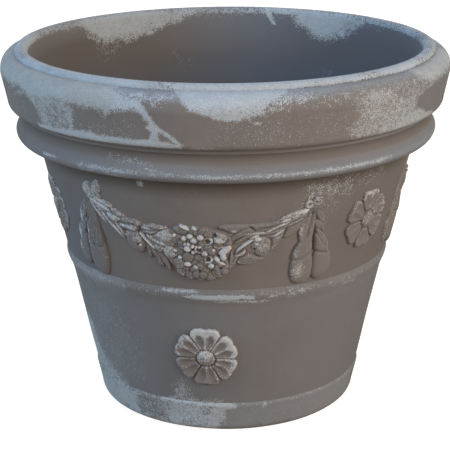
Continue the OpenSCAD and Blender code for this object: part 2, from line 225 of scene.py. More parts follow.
def fired_clay(name, soft=0.05, grit=0.35, thin_wash=grey_wash, thick_wash=pale_and_sky_lit_wash):
    """Matte grey-brown clay under what is left of a thin pale wash.

    The mesh's own fields say where it lies. Wash is the share of the clay that it
    covers, in specks, so its edges break up as worn limewash does. Pale is how far
    it goes from the thin wash's colour to the thick one's; it also paints the wash
    lighter and bluer where light falls, as painted light. Film is a haze of it rubbed
    into the clay, and on the rim's top it is a painted sheen too. Painted shade makes
    the clay darker, and a cool tint, mostly painted cool light, makes it bluer.
    Soft is how gently a speck's edge fades, and grit is how rough the clay is."""
    material = bpy.data.materials.new(name)
    material.use_nodes = True
    shader = material.node_tree.nodes["Principled BSDF"]
    shader.inputs["Specular IOR Level"].default_value = 0.25
    place = node_of(material, "ShaderNodeTexCoord").outputs["Object"]

    # The clay has two tones, in clouds and flecks.
    clouds = span(material, grain(material, place, 12, 5.0, 0.62), 0.3, 0.7)
    flecks = span(material, grain(material, place, 600, 3.0, 0.7), 0.3, 0.7)
    tone = sum_of(material, "MULTIPLY_ADD", flecks, 0.5)
    join(material, sum_of(material, "MULTIPLY", clouds, 0.5), tone.node.inputs[2])
    clay = blended(material, tone, dark_clay, light_clay)
    # Painted shade darkens the clay, and a cool tint, mostly painted cool light, makes it bluer.
    painted_shade = node_of(material, "ShaderNodeAttribute", attribute_name="painted_shade").outputs["Fac"]
    clay = blended(material, painted_shade, clay, shaded_clay)
    cool_tone_and_light = node_of(material, "ShaderNodeAttribute", attribute_name="cool_tone_and_light").outputs["Fac"]
    clay = blended(material, cool_tone_and_light, clay, cool_tone_and_light_clay)

    # The wash breaks up into blots and specks, which join where there is more of it.
    field = node_of(material, "ShaderNodeAttribute", attribute_name="wash").outputs["Fac"]
    pale_and_lit = node_of(material, "ShaderNodeAttribute", attribute_name="pale_and_lit").outputs["Fac"]
    film_and_sheen = node_of(material, "ShaderNodeAttribute", attribute_name="film_and_sheen").outputs["Fac"]
    blots = span(material, grain(material, place, 230, 3.0, 0.6), 0.28, 0.72, smooth=False)
    specks = span(material, grain(material, place, 850, 2.0, 0.7), 0.27, 0.73, smooth=False)
    broken = sum_of(material, "MULTIPLY_ADD", specks, 0.74)
    join(material, sum_of(material, "MULTIPLY", blots, 0.26), broken.node.inputs[2])
    broken = span(material, broken, 0.17, 0.83)
    wetted = sum_of(material, "MULTIPLY_ADD", field, 1 + 2.5 * soft)
    join(material, broken, wetted.node.inputs[2])
    cover = span(material, wetted, 1 + 0.5 * soft, 1 + 2.5 * soft)
    thin = span(material, grain(material, place, 60, 4.0, 0.6), 0.25, 0.75, 0.72, 0.94)
    mottled = sum_of(material, "ADD", thin, span(material, flecks, 0, 1, -0.17, 0.13))
    solid_part = sum_of(material, "MULTIPLY", cover, mottled)
    haze_and_sheen = sum_of(material, "MULTIPLY", span(material, broken, 0.2, 0.8, 1.3, 0.7), film_and_sheen)
    shown = sum_of(material, "MAXIMUM", solid_part, haze_and_sheen)
    wash = blended(material, pale_and_lit, thin_wash, thick_wash)
    join(material, blended(material, shown, clay, wash), shader.inputs["Base Color"])

    # The surface is matte and pitted, and the wash stands a little proud of it.
    join(material, span(material, flecks, 0, 1, 0.78, 0.92), shader.inputs["Roughness"])
    pits = grain(material, place, 1100, 2.0, 0.6)
    face = sum_of(material, "MULTIPLY_ADD", cover, 0.25)
    join(material, pits, face.node.inputs[2])
    bump = node_of(material, "ShaderNodeBump", Strength=grit, Distance=0.0006)
    join(material, face, bump.inputs["Height"])
    join(material, bump.outputs["Normal"], shader.inputs["Normal"])
    return material


def finish_clay(piece, material, node):
    """Gives a piece its material and its slot, and lets it stand for its node."""
    piece.data.materials.append(material)
    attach(piece, "root")
    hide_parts(node)


bare = fired_clay("bare_clay_finish")

floor = turned("floor_clay", [
    (drain_r, drain_wear_below), (drain_r + drain_wear_below, 0), (floor_edge, 0), (floor_edge, floor_t),
    (drain_r + drain_wear, floor_t), (drain_r, floor_t - drain_wear),
], step=4.0)
finish_clay(floor, bare, "floor_slab")

# Foot ring
# A coil of clay pressed round the floor slab, with its lower edge rounded off
# on the wheel. Wash has run down over it and dried there.
foot_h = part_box("foot_ring")[1].z / mm
foot_out = 1.8
foot_round = 9.8
foot_bevel = 3
bevel_in = 0.2
bevel_over = 0.3
wash_creep = 5
degree = math.pi / 180

# The ring is pressed against the wall of the pot, two cones that meet at the waist.
pot_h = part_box("upper_wall")[1].z / mm
waist_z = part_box("lower_wall")[1].z / mm
waist_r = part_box("lower_wall")[1].x / mm
rim_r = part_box("rim_roll")[1].x / mm
rim_out = 14
base_r = 146
lip_r = rim_r - rim_out
wall_t = 14


def wall_r(z):
    """How far from the axis the wall's face is at a height."""
    return np.interp(z, [0, waist_z, pot_h], [base_r, waist_r, lip_r])


def arc(middle, size, start, end, steps=10):
    """Points on an arc in the profile plane, with its angles in degrees."""
    angles = np.radians(np.linspace(start, end, steps + 1))
    return [(middle[0] + size[0] * math.cos(a), middle[1] + size[1] * math.sin(a)) for a in angles]


def patch(az, z, corners, fade=3.0, radius=215):
    """How far inside a patch of wash each point is: 1 well inside it, 0 well outside.

    The corners are azimuths and heights, in order round the patch, and the fade is
    in millimetres. A patch with a long fade also has a more ragged edge."""
    stray = min(1.4, fade / 7)
    x = ((az + 180) % 360 - 180) * degree * radius
    x = x + stray * (1.8 * ripple(az, z, 5, 70, 24) + 0.9 * ripple(az, z, 6, 190, 9))
    z = z + stray * (1.4 * ripple(az, z, 7, 70, 24) + 0.8 * ripple(az, z, 8, 190, 9))
    edge_far = np.full(x.shape, np.inf)
    inside = np.zeros(x.shape, bool)
    points = [(a * degree * radius, h) for a, h in corners]
    for (x0, z0), (x1, z1) in zip(points, points[1:] + points[:1]):
        dx, dz = x1 - x0, z1 - z0
        along = np.clip(((x - x0) * dx + (z - z0) * dz) / max(dx * dx + dz * dz, 1e-9), 0, 1)
        edge_far = np.minimum(edge_far, np.hypot(x - x0 - along * dx, z - z0 - along * dz))
        if z0 != z1:
            crosses = (z0 > z) != (z1 > z)
            inside ^= crosses & (x < x0 + (z - z0) * dx / dz)
    depth = np.where(inside, edge_far, -edge_far)
    return np.clip(0.5 + depth / fade / 2, 0, 1)


def block(az, z, start, end, low, high, fade=3.0, radius=215):
    """A patch between two azimuths and two heights."""
    return patch(az, z, [(start, low), (end, low), (end, high), (start, high)], fade, radius)


def behind(az):
    """1 on the sides and back, which the front's own patches leave out, and 0 in front."""
    return np.clip((np.abs(az) - 84) / 12, 0, 1)


def drift_of(az, z, seed):
    """How far chance has carried the wash up or down there, from about -1 to 1."""
    return 0.6 * ripple(az, 0 * z, seed, 9, 900) + 0.3 * ripple(az, z, seed + 1, 34, 60)


def most(*fields):
    """The strongest of some fields at each point."""
    return np.maximum.reduce(fields)


def foot_wash(az, z, r):
    """Solid on the left, flaked off in front and a faint film on the right."""
    cover = most(
        patch(az, z, [(-80, 0), (-41, 0), (-41, 14), (-42, 28), (-41, 38), (-80, 38)], 11),
        patch(az, z, [(-44, 0), (-24, 0), (-24, 9), (-31, 11), (-44, 12)], 6) * 0.8,
        patch(az, z, [(-44, 30), (-24, 31), (-24, 38), (-44, 38)], 6) * 0.66,
        block(az, z, -42, -25, 10, 32, 6) * 0.42,
        patch(az, z, [(-28, 0), (-20, 0), (-20, 34), (-29, 34)], 12) * 0.76,
        patch(az, z, [(-25, 0), (-6, 0), (-3.5, 6), (-3.2, 12), (-0.8, 15), (-0.6, 30), (-8, 34),
                      (-24, 34)], 2.5) * 0.78,
        patch(az, z, [(-29, 33), (-8, 33), (0, 30), (3.5, 31), (3.5, 35), (0, 38), (-29, 38)], 2) * 0.96,
        patch(az, z, [(-20, 12), (-10, 9), (-2, 12), (-2, 20), (-14, 22)], 7) * 0.86,
        # A pale line along the bevel on the right is a painted highlight.
        block(az, z, 3, 68, 33, 36.4, 3) * 0.3,
        block(az, z, 2, 30, 4, 33, 9) * 0.08,
        block(az, z, 14.5, 16, 30, 36, 1.5) * 0.8,
        behind(az) * np.clip((16 + 14 * drift_of(az, z, 11) - z) / 7, 0, 1) * 0.8,
        # Round the back, a pale line along the bevel is a painted highlight too.
        behind(az) * np.clip(1 - np.abs(z - 34.5) / 3, 0, 1) * 0.5,
    )
    flaked = cover * (1 - 0.4 * block(az, z, -12, -7, 22, 28, 3))
    flaked = flaked * (1 - 0.3 * block(az, z, -20, -12, 7, 11, 3))
    return {
        "wash": flaked * (r > wall_r(z) - wash_creep),
        "pale_and_lit": 0.3 + 0.3 * block(az, z, -27, -3, 2, 38, 6) - 0.2 * np.clip(-az / 40 - 1, 0, 1),
        "film_and_sheen": 0.02 + 0.17 * block(az, z, -3, 70, 0, 40, 12),
        "cool_tone_and_light": np.full(az.shape, 0.34),
    }


brushed = fired_clay("washed_clay_finish")
foot_top = foot_h - foot_bevel
foot = turned("foot_ring_clay", [
    (wall_r(floor_t) - wall_t, 0),
    *arc((wall_r(foot_round) + foot_out - foot_round, foot_round), (foot_round, foot_round), -90, 0),
    (wall_r(foot_top) + foot_out, foot_top), (wall_r(foot_h) - bevel_in, foot_h + bevel_over),
    (wall_r(foot_h) - wall_t, foot_h), (wall_r(floor_t) - wall_t, floor_t),
], foot_wash)
finish_clay(foot, brushed, "foot_ring")


# Lower wall
# The lower section of the wall, thrown thick and smooth. Wash has splashed
# above the foot on the left, and only specks of it are left elsewhere.
def lower_wash(az, z, r):
    """A splash above the foot on the left, and a smudge above the foot's own flakes."""
    cover = most(
        patch(az, z, [(-80, 30), (-43, 30), (-47, 42), (-56, 52), (-63, 70), (-67, 104),
                      (-80, 112)], 13) * 0.74,
        patch(az, z, [(-72, 58), (-30, 42), (-34, 150), (-62, 160)], 26) * 0.14,
        block(az, z, -25, -2, 36, 41, 4) * 0.62,
        patch(az, z, [(-24, 36), (-12, 36), (-14, 48), (-16, 64), (-21, 62)], 9) * 0.46,
        behind(az) * np.clip((34 + 16 * drift_of(az, z, 21) - z) / 24, 0, 0.5),
    )
    outer = r > wall_r(z) - 1
    mottle = 0.8 + 0.2 * ripple(az, z, 22, 30, 50)
    film_and_sheen = 0.03 + 0.08 * patch(az, z, [(-90, 30), (-36, 30), (-46, 160), (-90, 160)], 26) * mottle
    return {
        "wash": cover * outer,
        "pale_and_lit": np.full(az.shape, 0.3),
        "film_and_sheen": film_and_sheen * outer,
        # The clay is painted darker towards the right.
        "painted_shade": 0.04 + 0.2 * np.clip((az - 28) / 30, 0, 1),
        "cool_tone_and_light": np.full(az.shape, 0.27),
    }


lower = turned("lower_wall_clay", [
    (wall_r(foot_h), foot_h), (waist_r, waist_z),
    (waist_r - wall_t, waist_z), (wall_r(foot_h) - wall_t, foot_h),
], lower_wash)
finish_clay(lower, bare, "lower_wall")

# Waist band
# A thin strap of clay smeared over the joint between the two wall sections.
# Its crest sits high and holds what is left of the wash.
waist_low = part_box("waist_band")[0].z / mm
waist_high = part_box("waist_band")[1].z / mm
waist_out = 2.4
waist_crest = 1.8
strap_edge = 0.15

# How far the backs of the band and of the coils reach into the wall
let_in = 1


def waist_wash(az, z, r):
    """Pale smears along the crest in front, and specks of it further round."""
    cover = most(
        block(az, z, -70, -42, 170, 178, 6) * 0.42,
        block(az, z, -37.3, -35.6, 171, 174, 1.5) * 0.8,
        block(az, z, -22, -10, 176.5, 180, 2) * 0.84,
        patch(az, z, [(-14, 172), (-9, 169), (0, 169.3), (9, 170.5), (9, 174.5), (0, 175.6),
                      (-11, 174.6)], 1.6),
        patch(az, z, [(-4, 166.3), (14, 165.5), (15, 167.5), (0, 169)], 1.6) * 0.72,
        block(az, z, 13.8, 16.6, 170.8, 173.4, 1.5) * 0.86,
        block(az, z, 17, 27, 169, 178, 5) * 0.42,
        block(az, z, 43, 50, 168, 171, 3) * 0.5,
        block(az, z, -44, 75, 171, 178, 4) * 0.22,
        behind(az) * block(az * 0, z, -1, 1, 170, 178, 4) * (0.36 + 0.3 * drift_of(az, z, 31)),
    )
    film_and_sheen = 0.03 + 0.22 * block(az, z, -75, -38, 166, 182, 10)
    return {"wash": cover, "pale_and_lit": np.full(az.shape, 0.45), "film_and_sheen": film_and_sheen, "cool_tone_and_light": np.full(az.shape, 0.2)}


def strap_point(share):
    """A point on the band's face, from its lower edge at 0 to its upper edge at 1.

    A waist_crest above 1 lifts the crest over the middle."""
    z = waist_low + (waist_high - waist_low) * share
    swell = math.sin(math.pi * share ** waist_crest)
    return wall_r(z) + waist_out * swell + strap_edge, z


strap = [strap_point(k / 16) for k in range(17)]
waist = turned("waist_band_clay", [
    *strap, (wall_r(waist_high) - let_in, waist_high), (waist_r - let_in, waist_z),
    (wall_r(waist_low) - let_in, waist_low),
], waist_wash, step=1.5)
finish_clay(waist, brushed, "waist_band")

# Upper wall
# The wider upper section, which carries the garlands and ends in the rounded
# lip. Wash was slopped over the lip and ran down inside.
lip_round = 5.5
lip_z = pot_h - lip_round


def cool_light_side(az, z):
    """How much painted cool light the upper wall's clay takes towards its left side."""
    return 0.42 * np.clip((-az - 34) / 26, 0, 1) * np.clip((290 - z) / 40, 0.3, 1)


def upper_wash(az, z, r):
    """Slopped over the lip and down inside, with specks of it outside, under the collar."""
    inner = r < wall_r(z) - wall_t / 2
    # Round the inside, places are read from the middle of the far side, to the right.
    flip = 180 - (az + 360) % 360
    slopped = most(
        patch(flip, z, [(-55, 412), (-49.5, 392), (-45.5, 381), (-43, 378.5), (-33, 378), (-25, 384),
                        (-16, 396), (-9, 404), (-6, 412)], 5, 200) * 0.8,
        patch(flip, z, [(-54, 412), (-49, 393), (-45, 383), (-33, 382), (-24, 395),
                        (-18, 412)], 4, 200) * 0.95,
        patch(flip, z, [(12.5, 412), (14.5, 412), (17.2, 391), (15.8, 391)], 1.2, 200),
        patch(flip, z, [(20.5, 412), (25.5, 392), (30, 379), (35, 376), (41, 380), (47, 394),
                        (53, 412)], 6, 200) * 0.8,
        patch(flip, z, [(22, 412), (26.5, 392), (31, 381), (38, 383), (43, 392), (47, 412)], 5, 200) * 0.98,
        patch(flip, z, [(-20, 344), (-13, 338), (-11, 350), (-19, 362)], 12, 200) * 0.16,
        patch(flip, z, [(34, 332), (40, 332), (40, 341), (34, 341)], 9, 200) * 0.2,
        patch(flip, z, [(-47, 362), (-38, 362), (-38, 380), (-47, 380)], 10, 200) * 0.24,
        block(flip, z, -60, 60, 402, 412, 6, 200) * 0.28,
    )
    on_lip = np.clip((z - 403) / 2.5, 0, 1)
    crack = np.clip(1.4 - np.abs(z - 405.6) / 1.2, 0, 1) * np.where(inner, 0, 1)
    lip = on_lip * (0.62 + 0.36 * block(az, z, -95, 62, 380, 430, 30) + 0.1 * ripple(az, z, 41, 20, 60))
    lip = most(lip, on_lip * block(az, z, -13, 15, 380, 430, 5))
    lip = lip - 0.4 * crack * block(az, z, 16, 80, 380, 430, 9)
    outer = most(
        patch(az, z, [(22, 276), (24, 286), (29, 276), (33, 270), (38, 280), (38, 297),
                      (24, 300)], 12) * 0.36,
        block(az, z, 23, 32, 289, 298, 4) * 0.42,
        block(az, z, 36, 53, 285, 299, 10) * 0.24,
        block(az, z, -25.4, -23.6, 297.5, 302.5, 1.5) * 0.95,
        block(az, z, -14, -12, 255, 300, 9) * 0.1,
        block(az, z, -11, -6, 284, 303, 9) * 0.08,
        behind(az) * np.clip((z - 282 - 16 * drift_of(az, z, 42)) / 60, 0, 0.16),
    )
    # Inside, the painted shade and painted cool light are weaker near the top of the far side's middle, where
    # light falls.
    shaded = 1 - 0.7 * np.exp(-(flip / 28) ** 2) * np.clip((z - 345) / 30, 0, 1)
    # Painted shade: darker deep inside, and darker under the collar roll and towards the sides.
    shade_under_roll = 0.1 + 0.86 * np.clip((z - 286) / 17, 0, 1) + 0.3 * np.clip((np.abs(az + 5) - 25) / 20, 0, 1)
    painted_shade = np.where(inner, np.clip((412 - z) / 28, 0, 1) * 0.85 * shaded, shade_under_roll) * (1 - on_lip)
    # Painted cool light inside: bluer on the right and low down.
    far_right = np.clip(0.75 + 1.7 * np.sin(az * degree), 0, 1)
    cool_light_inside = 0.55 * far_right + 0.3 * np.clip((362 - z) / 30, 0, 1) * shaded
    cool_tone_and_light = np.where(inner, cool_light_inside, cool_light_side(az, z))
    return {
        "wash": most(np.where(inner, slopped, outer * (1 - on_lip)), lip),
        # On the lip the wash is painted paler, as sky light on its top.
        "pale_and_lit": np.where(inner, 0.5 * np.clip(flip / 15, 0, 1), 0.1 + 0.4 * on_lip) + 0.3 * on_lip,
        "painted_shade": painted_shade,
        "cool_tone_and_light": cool_tone_and_light,
    }


upper = turned("upper_wall_clay", [
    (waist_r, waist_z),
    *arc((wall_r(lip_z) - lip_round, lip_z), (lip_round, lip_round), 0, 90),
    *arc((wall_r(lip_z) - wall_t + lip_round, lip_z), (lip_round, lip_round), 90, 180),
    (waist_r - wall_t, waist_z),
], upper_wash, step=1.8, around=840)
finish_clay(upper, bare, "upper_wall")

# Collar roll
# A coil of clay under the rim, drawn to a rounded lip below and hollowed above
# with a wet sponge. The wash has worn off all but its crest.
collar_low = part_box("collar_roll")[0].z / mm
collar_lift = 2.2
neck_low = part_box("collar_roll")[1].z / mm
collar_out = 21.5
collar_round = 9
neck_out = 12
collar_tuck = 1.5
lip_turn = 25


def collar_wash(az, z, r):
    """Specks along the crest of the collar's lip, thickest in front of the garland."""
    crest = np.clip(1.15 - np.abs(z - 319) / 3.4, 0, 1)
    strewn = 0.5 + 0.5 * ripple(az, z, 52, 90, 14)
    spots = most(
        block(az, z, -39, -21, 300, 330, 10) * 0.62,
        block(az, z, -21, -11, 300, 330, 8) * 0.36,
        block(az, z, -11, 5, 300, 330, 8) * 0.54,
        block(az, z, 5, 19, 300, 330, 8) * 0.5,
        block(az, z, 19, 46, 300, 330, 9) * 0.6,
        block(az, z, -54, -48, 318, 322, 2) * 0.7,
        behind(az) * (0.4 + 0.3 * drift_of(az, z, 51)),
    )
    streak = patch(az, z, [(-30, 330), (-26, 334), (-19, 327), (-16, 321), (-21, 325), (-26, 328)], 5) * 0.42
    low = patch(az, z, [(-39, 312), (-24, 310), (-24, 318), (-39, 320)], 5) * 0.42
    cover = most(crest * (spots + 0.12 * (strewn - 0.5)), streak, low)
    film_and_sheen = 0.05 * (z < 330) + 0.12 * np.clip(1 - np.abs(z - 320) / 8, 0, 1)
    return {
        "wash": cover,
        "pale_and_lit": np.full(az.shape, 0.6),
        "film_and_sheen": film_and_sheen * np.clip((az + 70) / 40, 0.1, 1),
        # Painted shade under the rim, and painted cool light on the collar below its hollow.
        "painted_shade": np.clip((z - 328) / 12, 0, 1),
        "cool_tone_and_light": 0.4 * np.clip((332 - z) / 8, 0, 1) * np.clip((az + 62) / 30, 0.3, 1),
    }


collar_lip_z = collar_low + collar_lift + collar_round
collar_lip_r = wall_r(collar_lip_z) + collar_out - collar_round
crest_r = collar_lip_r + collar_round * math.cos(math.radians(lip_turn))
crest_z = collar_lip_z + collar_round * math.sin(math.radians(lip_turn))
collar_top_r = wall_r(neck_low) + neck_out - collar_tuck
cove = [
    (crest_r + (collar_top_r - crest_r) * t * (2 - t), crest_z + (neck_low - crest_z) * t)
    for t in np.linspace(0.1, 1, 10)
]
collar = turned("collar_clay", [
    *arc((collar_lip_r, collar_lip_z), (collar_round, collar_round), -90, lip_turn), *cove,
    (wall_r(neck_low) - let_in, neck_low), (wall_r(collar_low) - let_in, collar_low + collar_lift),
], collar_wash, step=1.5, around=840)
finish_clay(collar, brushed, "collar_roll")

# Rim roll
# The deep rolled rim, made from a thick strap of clay folded over the lip's
# outside. It was brushed with wash, which is solid on its shoulder and has run
# down its face in streaks.
rim_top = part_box("rim_roll")[1].z / mm
neck_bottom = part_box("rim_roll")[0].z / mm
neck_h = 5
rim_low = neck_bottom + neck_h
shoulder_h = 19
shoulder_fullness = 0.9
rim_lean = 6
rim_round = 9
face_swell = 1.1
arris_swell = 1.2
arris_z = rim_top - shoulder_h
arris_r = rim_r + arris_swell
neck_r = wall_r(neck_bottom) + neck_out
face_r = rim_r - rim_lean + face_swell
shoulder_r = wall_r(rim_top) - let_in

# The marks of the brush are placed along the profile: heights up to the arris,
# which counts as shoulder_start, and from there shoulder_run for each radian.
shoulder_start = 388
shoulder_run = 16


def shoulder_point(share):
    """A point on the shoulder's curve, from its arris at 0 to its top at 1. It is fuller than a round."""
    a = share * math.pi / 2
    out = (arris_r - wall_r(rim_top)) * max(math.cos(a), 0) ** shoulder_fullness
    return wall_r(rim_top) + out, arris_z + shoulder_h * math.sin(a) ** shoulder_fullness


def rim_wash(az, z, r):
    """Solid on the shoulder, with streaks, drips and scallops of it down the face."""
    climb = np.arcsin(np.clip((z - arris_z) / shoulder_h, 0, 1)) * shoulder_run
    on_face = z + (shoulder_start - arris_z) * np.clip((z - rim_low) / (arris_z - rim_low), 0, 1)
    z = np.where((z > arris_z) & (r > shoulder_r), shoulder_start + climb, on_face)
    left = most(
        patch(az, z, [(-99, 371), (-90, 377), (-80, 387), (-74, 389), (-56, 389), (-54, 380), (-51, 384),
                      (-41, 388), (-37, 386), (-30, 386), (-28.6, 379), (-27, 387), (-20, 388),
                      (-19.6, 398), (-26, 404), (-28, 420), (-99, 420)], 4.5),
        patch(az, z, [(-68, 380), (-61, 387), (-57, 390), (-63, 390)], 2) * 0.62,
        patch(az, z, [(-64, 375), (-56, 384), (-54, 389), (-60, 386)], 2) * 0.62,
        patch(az, z, [(-28, 398), (-14, 397), (-9, 402), (-9, 406), (-20, 405), (-28, 412)], 7) * 0.72,
    )
    fringe = most(
        patch(az, z, [(-54.5, 386), (-52.4, 372), (-50.4, 356), (-49.4, 350), (-46, 350), (-47, 372),
                      (-44, 390)], 3.5) * 0.68,
        patch(az, z, [(-50, 348), (-38, 350), (-38, 388), (-50, 388)], 5) * 0.56,
        patch(az, z, [(-52, 390), (-50, 378), (-41, 380), (-38.4, 384), (-38, 390)], 5) * 0.8,
        patch(az, z, [(-39.9, 353), (-38.3, 353), (-38.1, 372), (-39.1, 384), (-40.4, 384)], 1.6) * 0.84,
    )
    scallop = most(
        patch(az, z, [(-13, 420), (-11.6, 408), (-10, 399), (-8.2, 391), (-5, 386.8), (-3, 383), (0, 380),
                      (3, 379.8), (5.2, 382), (7, 387), (9, 392), (11, 399), (14, 405), (15, 420)], 2) * 0.86,
        patch(az, z, [(-12, 420), (-10.6, 405), (-9, 396), (-6.6, 391), (5, 391), (8, 396), (11, 403),
                      (13, 420)], 3),
        patch(az, z, [(6, 386), (11, 389.6), (15, 393), (20, 397), (22, 402), (16, 408), (8, 400)], 5) * 0.54,
    )
    streak = most(
        patch(az, z, [(-20.8, 399), (-18.4, 392), (-16.6, 382), (-15.9, 375), (-17.2, 373), (-18.2, 382),
                      (-20.4, 389)], 1.3) * 0.98,
        patch(az, z, [(-17.4, 376), (-15.8, 375), (-14.8, 369), (-15.6, 363), (-15.4, 355), (-19, 355),
                      (-17.6, 359), (-17.2, 366), (-18.4, 371)], 1.3) * 0.98,
        patch(az, z, [(-19.2, 381), (-18, 377), (-17.6, 382)], 1.1) * 0.8,
        patch(az, z, [(-15.8, 374), (-14.2, 369), (-12, 362), (-9.6, 352), (-11.4, 354), (-13.8, 362),
                      (-15.6, 369)], 1.0),
    )
    drips = most(
        patch(az, z, [(-29.6, 390), (-27.2, 390), (-28.3, 378)], 1.8),
        patch(az, z, [(-34, 390), (-31.6, 390), (-32.6, 384)], 1.8) * 0.8,
    )
    low_edge = most(
        patch(az, z, [(-52, 348), (-9.8, 348), (-10, 353), (-14, 357), (-25, 357.4), (-31, 357), (-35, 359.4),
                      (-39, 358), (-52, 354)], 2) * 0.96,
        patch(az, z, [(40, 346), (76, 346), (66, 352), (61, 358), (56, 364), (51, 369), (46, 362)], 4) * 0.74,
    )
    right_face = most(
        patch(az, z, [(31, 401), (32, 386), (31, 366), (30, 346), (38, 346), (44, 366), (44, 396)], 9) * 0.56,
        patch(az, z, [(41, 388), (42, 376), (38, 360), (40, 346), (58, 346), (52.6, 369), (52, 379),
                      (57, 387), (64, 390.5), (72, 389), (72, 392)], 6) * 0.62,
        patch(az, z, [(31, 388), (34, 399), (42, 397), (43, 386)], 4) * 0.62,
        patch(az, z, [(33, 402), (34, 388), (50, 387), (58, 389), (74, 389), (80, 398), (76, 413), (54, 413),
                      (50, 402)], 5) * 0.34,
        patch(az, z, [(53, 416), (53, 398), (60, 392), (78, 391), (86, 404), (86, 416)], 6),
        patch(az, z, [(40, 366), (52, 352), (56, 360), (50, 368), (42, 380)], 8) * 0.68,
    )
    faint = most(
        patch(az, z, [(8, 389), (20, 395), (34, 389), (34, 402), (8, 402)], 9) * 0.36,
        block(az, z, 14, 56, 400, 416, 9) * 0.3,
        block(az, z, 4, 15, 350, 385, 16) * 0.2,
        block(az, z, 6.4, 8, 375.6, 379.4, 1.4) * 0.8,
        block(az, z, -80, -55, 352, 384, 10) * 0.13,
        block(az, z, -38, -20, 356, 372, 9) * 0.2,
        block(az, z, -8, -3, 348, 351.5, 1.5) * 0.66,
        block(az, z, -5, 40, 348, 388, 10) * 0.11,
        behind(az) * np.clip((z - 388 + 13 * drift_of(az, z, 61)) / 4, 0, 0.94),
        behind(az) * np.clip((351 + 7 * drift_of(az, z, 63) - z) / 3, 0, 0.8),
    )
    oval = patch(az, z, [(52.4, 375), (53.4, 381), (57, 386.4), (62, 389.6), (68, 390.6), (75, 389.5),
                         (82, 391), (96, 386), (96, 340), (73, 345), (66, 352.4), (60, 360), (55, 366),
                         (52.6, 370)], 1.8)
    cover = most(left, fringe, scallop, streak, drips, low_edge, right_face, faint)
    cover = cover * (1 - oval) * np.clip((z - 348) / 2, 0, 1)
    # The hole between the two branches of the streak is bare.
    cover = cover * (1 - patch(az, z, [(-15.4, 366), (-15.2, 357.6), (-12.8, 357.6)], 1.0))
    # The wash is thicker on the front of the shoulder and is painted paler there as sky light; the streaks,
    # drips and low edge on the left are painted paler as light from the ground.
    pale_and_lit = 0.12 + 0.88 * block(az, z, -26, 24, 380, 425, 20) - 0.12 * block(az, z, -130, -56, 340, 425, 20)
    pale_and_lit = most(pale_and_lit, 0.45 * most(streak, low_edge * (az < 0), drips))
    # Painted sky light on the top, as a sheen and a bluer tint; the clay is also made bluer to the right.
    sky_lit_top = np.clip((z - 396) / 10, 0, 1)
    film_and_sheen = 0.02 + 0.26 * sky_lit_top
    cool_tone_and_light = most(0.3 * np.clip((az - 30) / 25, 0, 1), 0.6 * sky_lit_top)
    return {"wash": cover, "pale_and_lit": pale_and_lit, "film_and_sheen": film_and_sheen, "cool_tone_and_light": cool_tone_and_light}


rim = turned("rim_clay", [
    (neck_r, neck_bottom), (neck_r, rim_low),
    *arc((face_r - rim_round, rim_low + rim_round), (rim_round, rim_round), -90, 0),
    *[shoulder_point(k / 14) for k in range(15)],
    (shoulder_r, rim_top), (wall_r(neck_bottom) - let_in, neck_bottom),
], rim_wash, step=1.5, around=960)
finish_clay(rim, brushed, "rim_roll")

# Garlands
# Each half of a garland is one pressing of leaves and fruit from a plaster
# mould, stuck to the wall with slip while both were damp. The mould's leaves
# overlap, and wash is left on their ridges.
knot_drop = 32
knot_z = collar_low - knot_drop
right_spray_thick = 0.85
mould_step = 0.8
buried = -3.0
pressing_back = -4.0
rubbed_wash = (176, 170, 162)
white_wash = (194, 189, 183)
rubbed_all_over = 0.03
rubbed_on_ridges = 0.1

# Three garlands hang round the pot, a third of a turn apart, and the one in front
# keeps more of its wash. Each takes its bows, fruit and rosettes with it.
front = -8.8
wash_kept = (1, 0.4, 0.4)


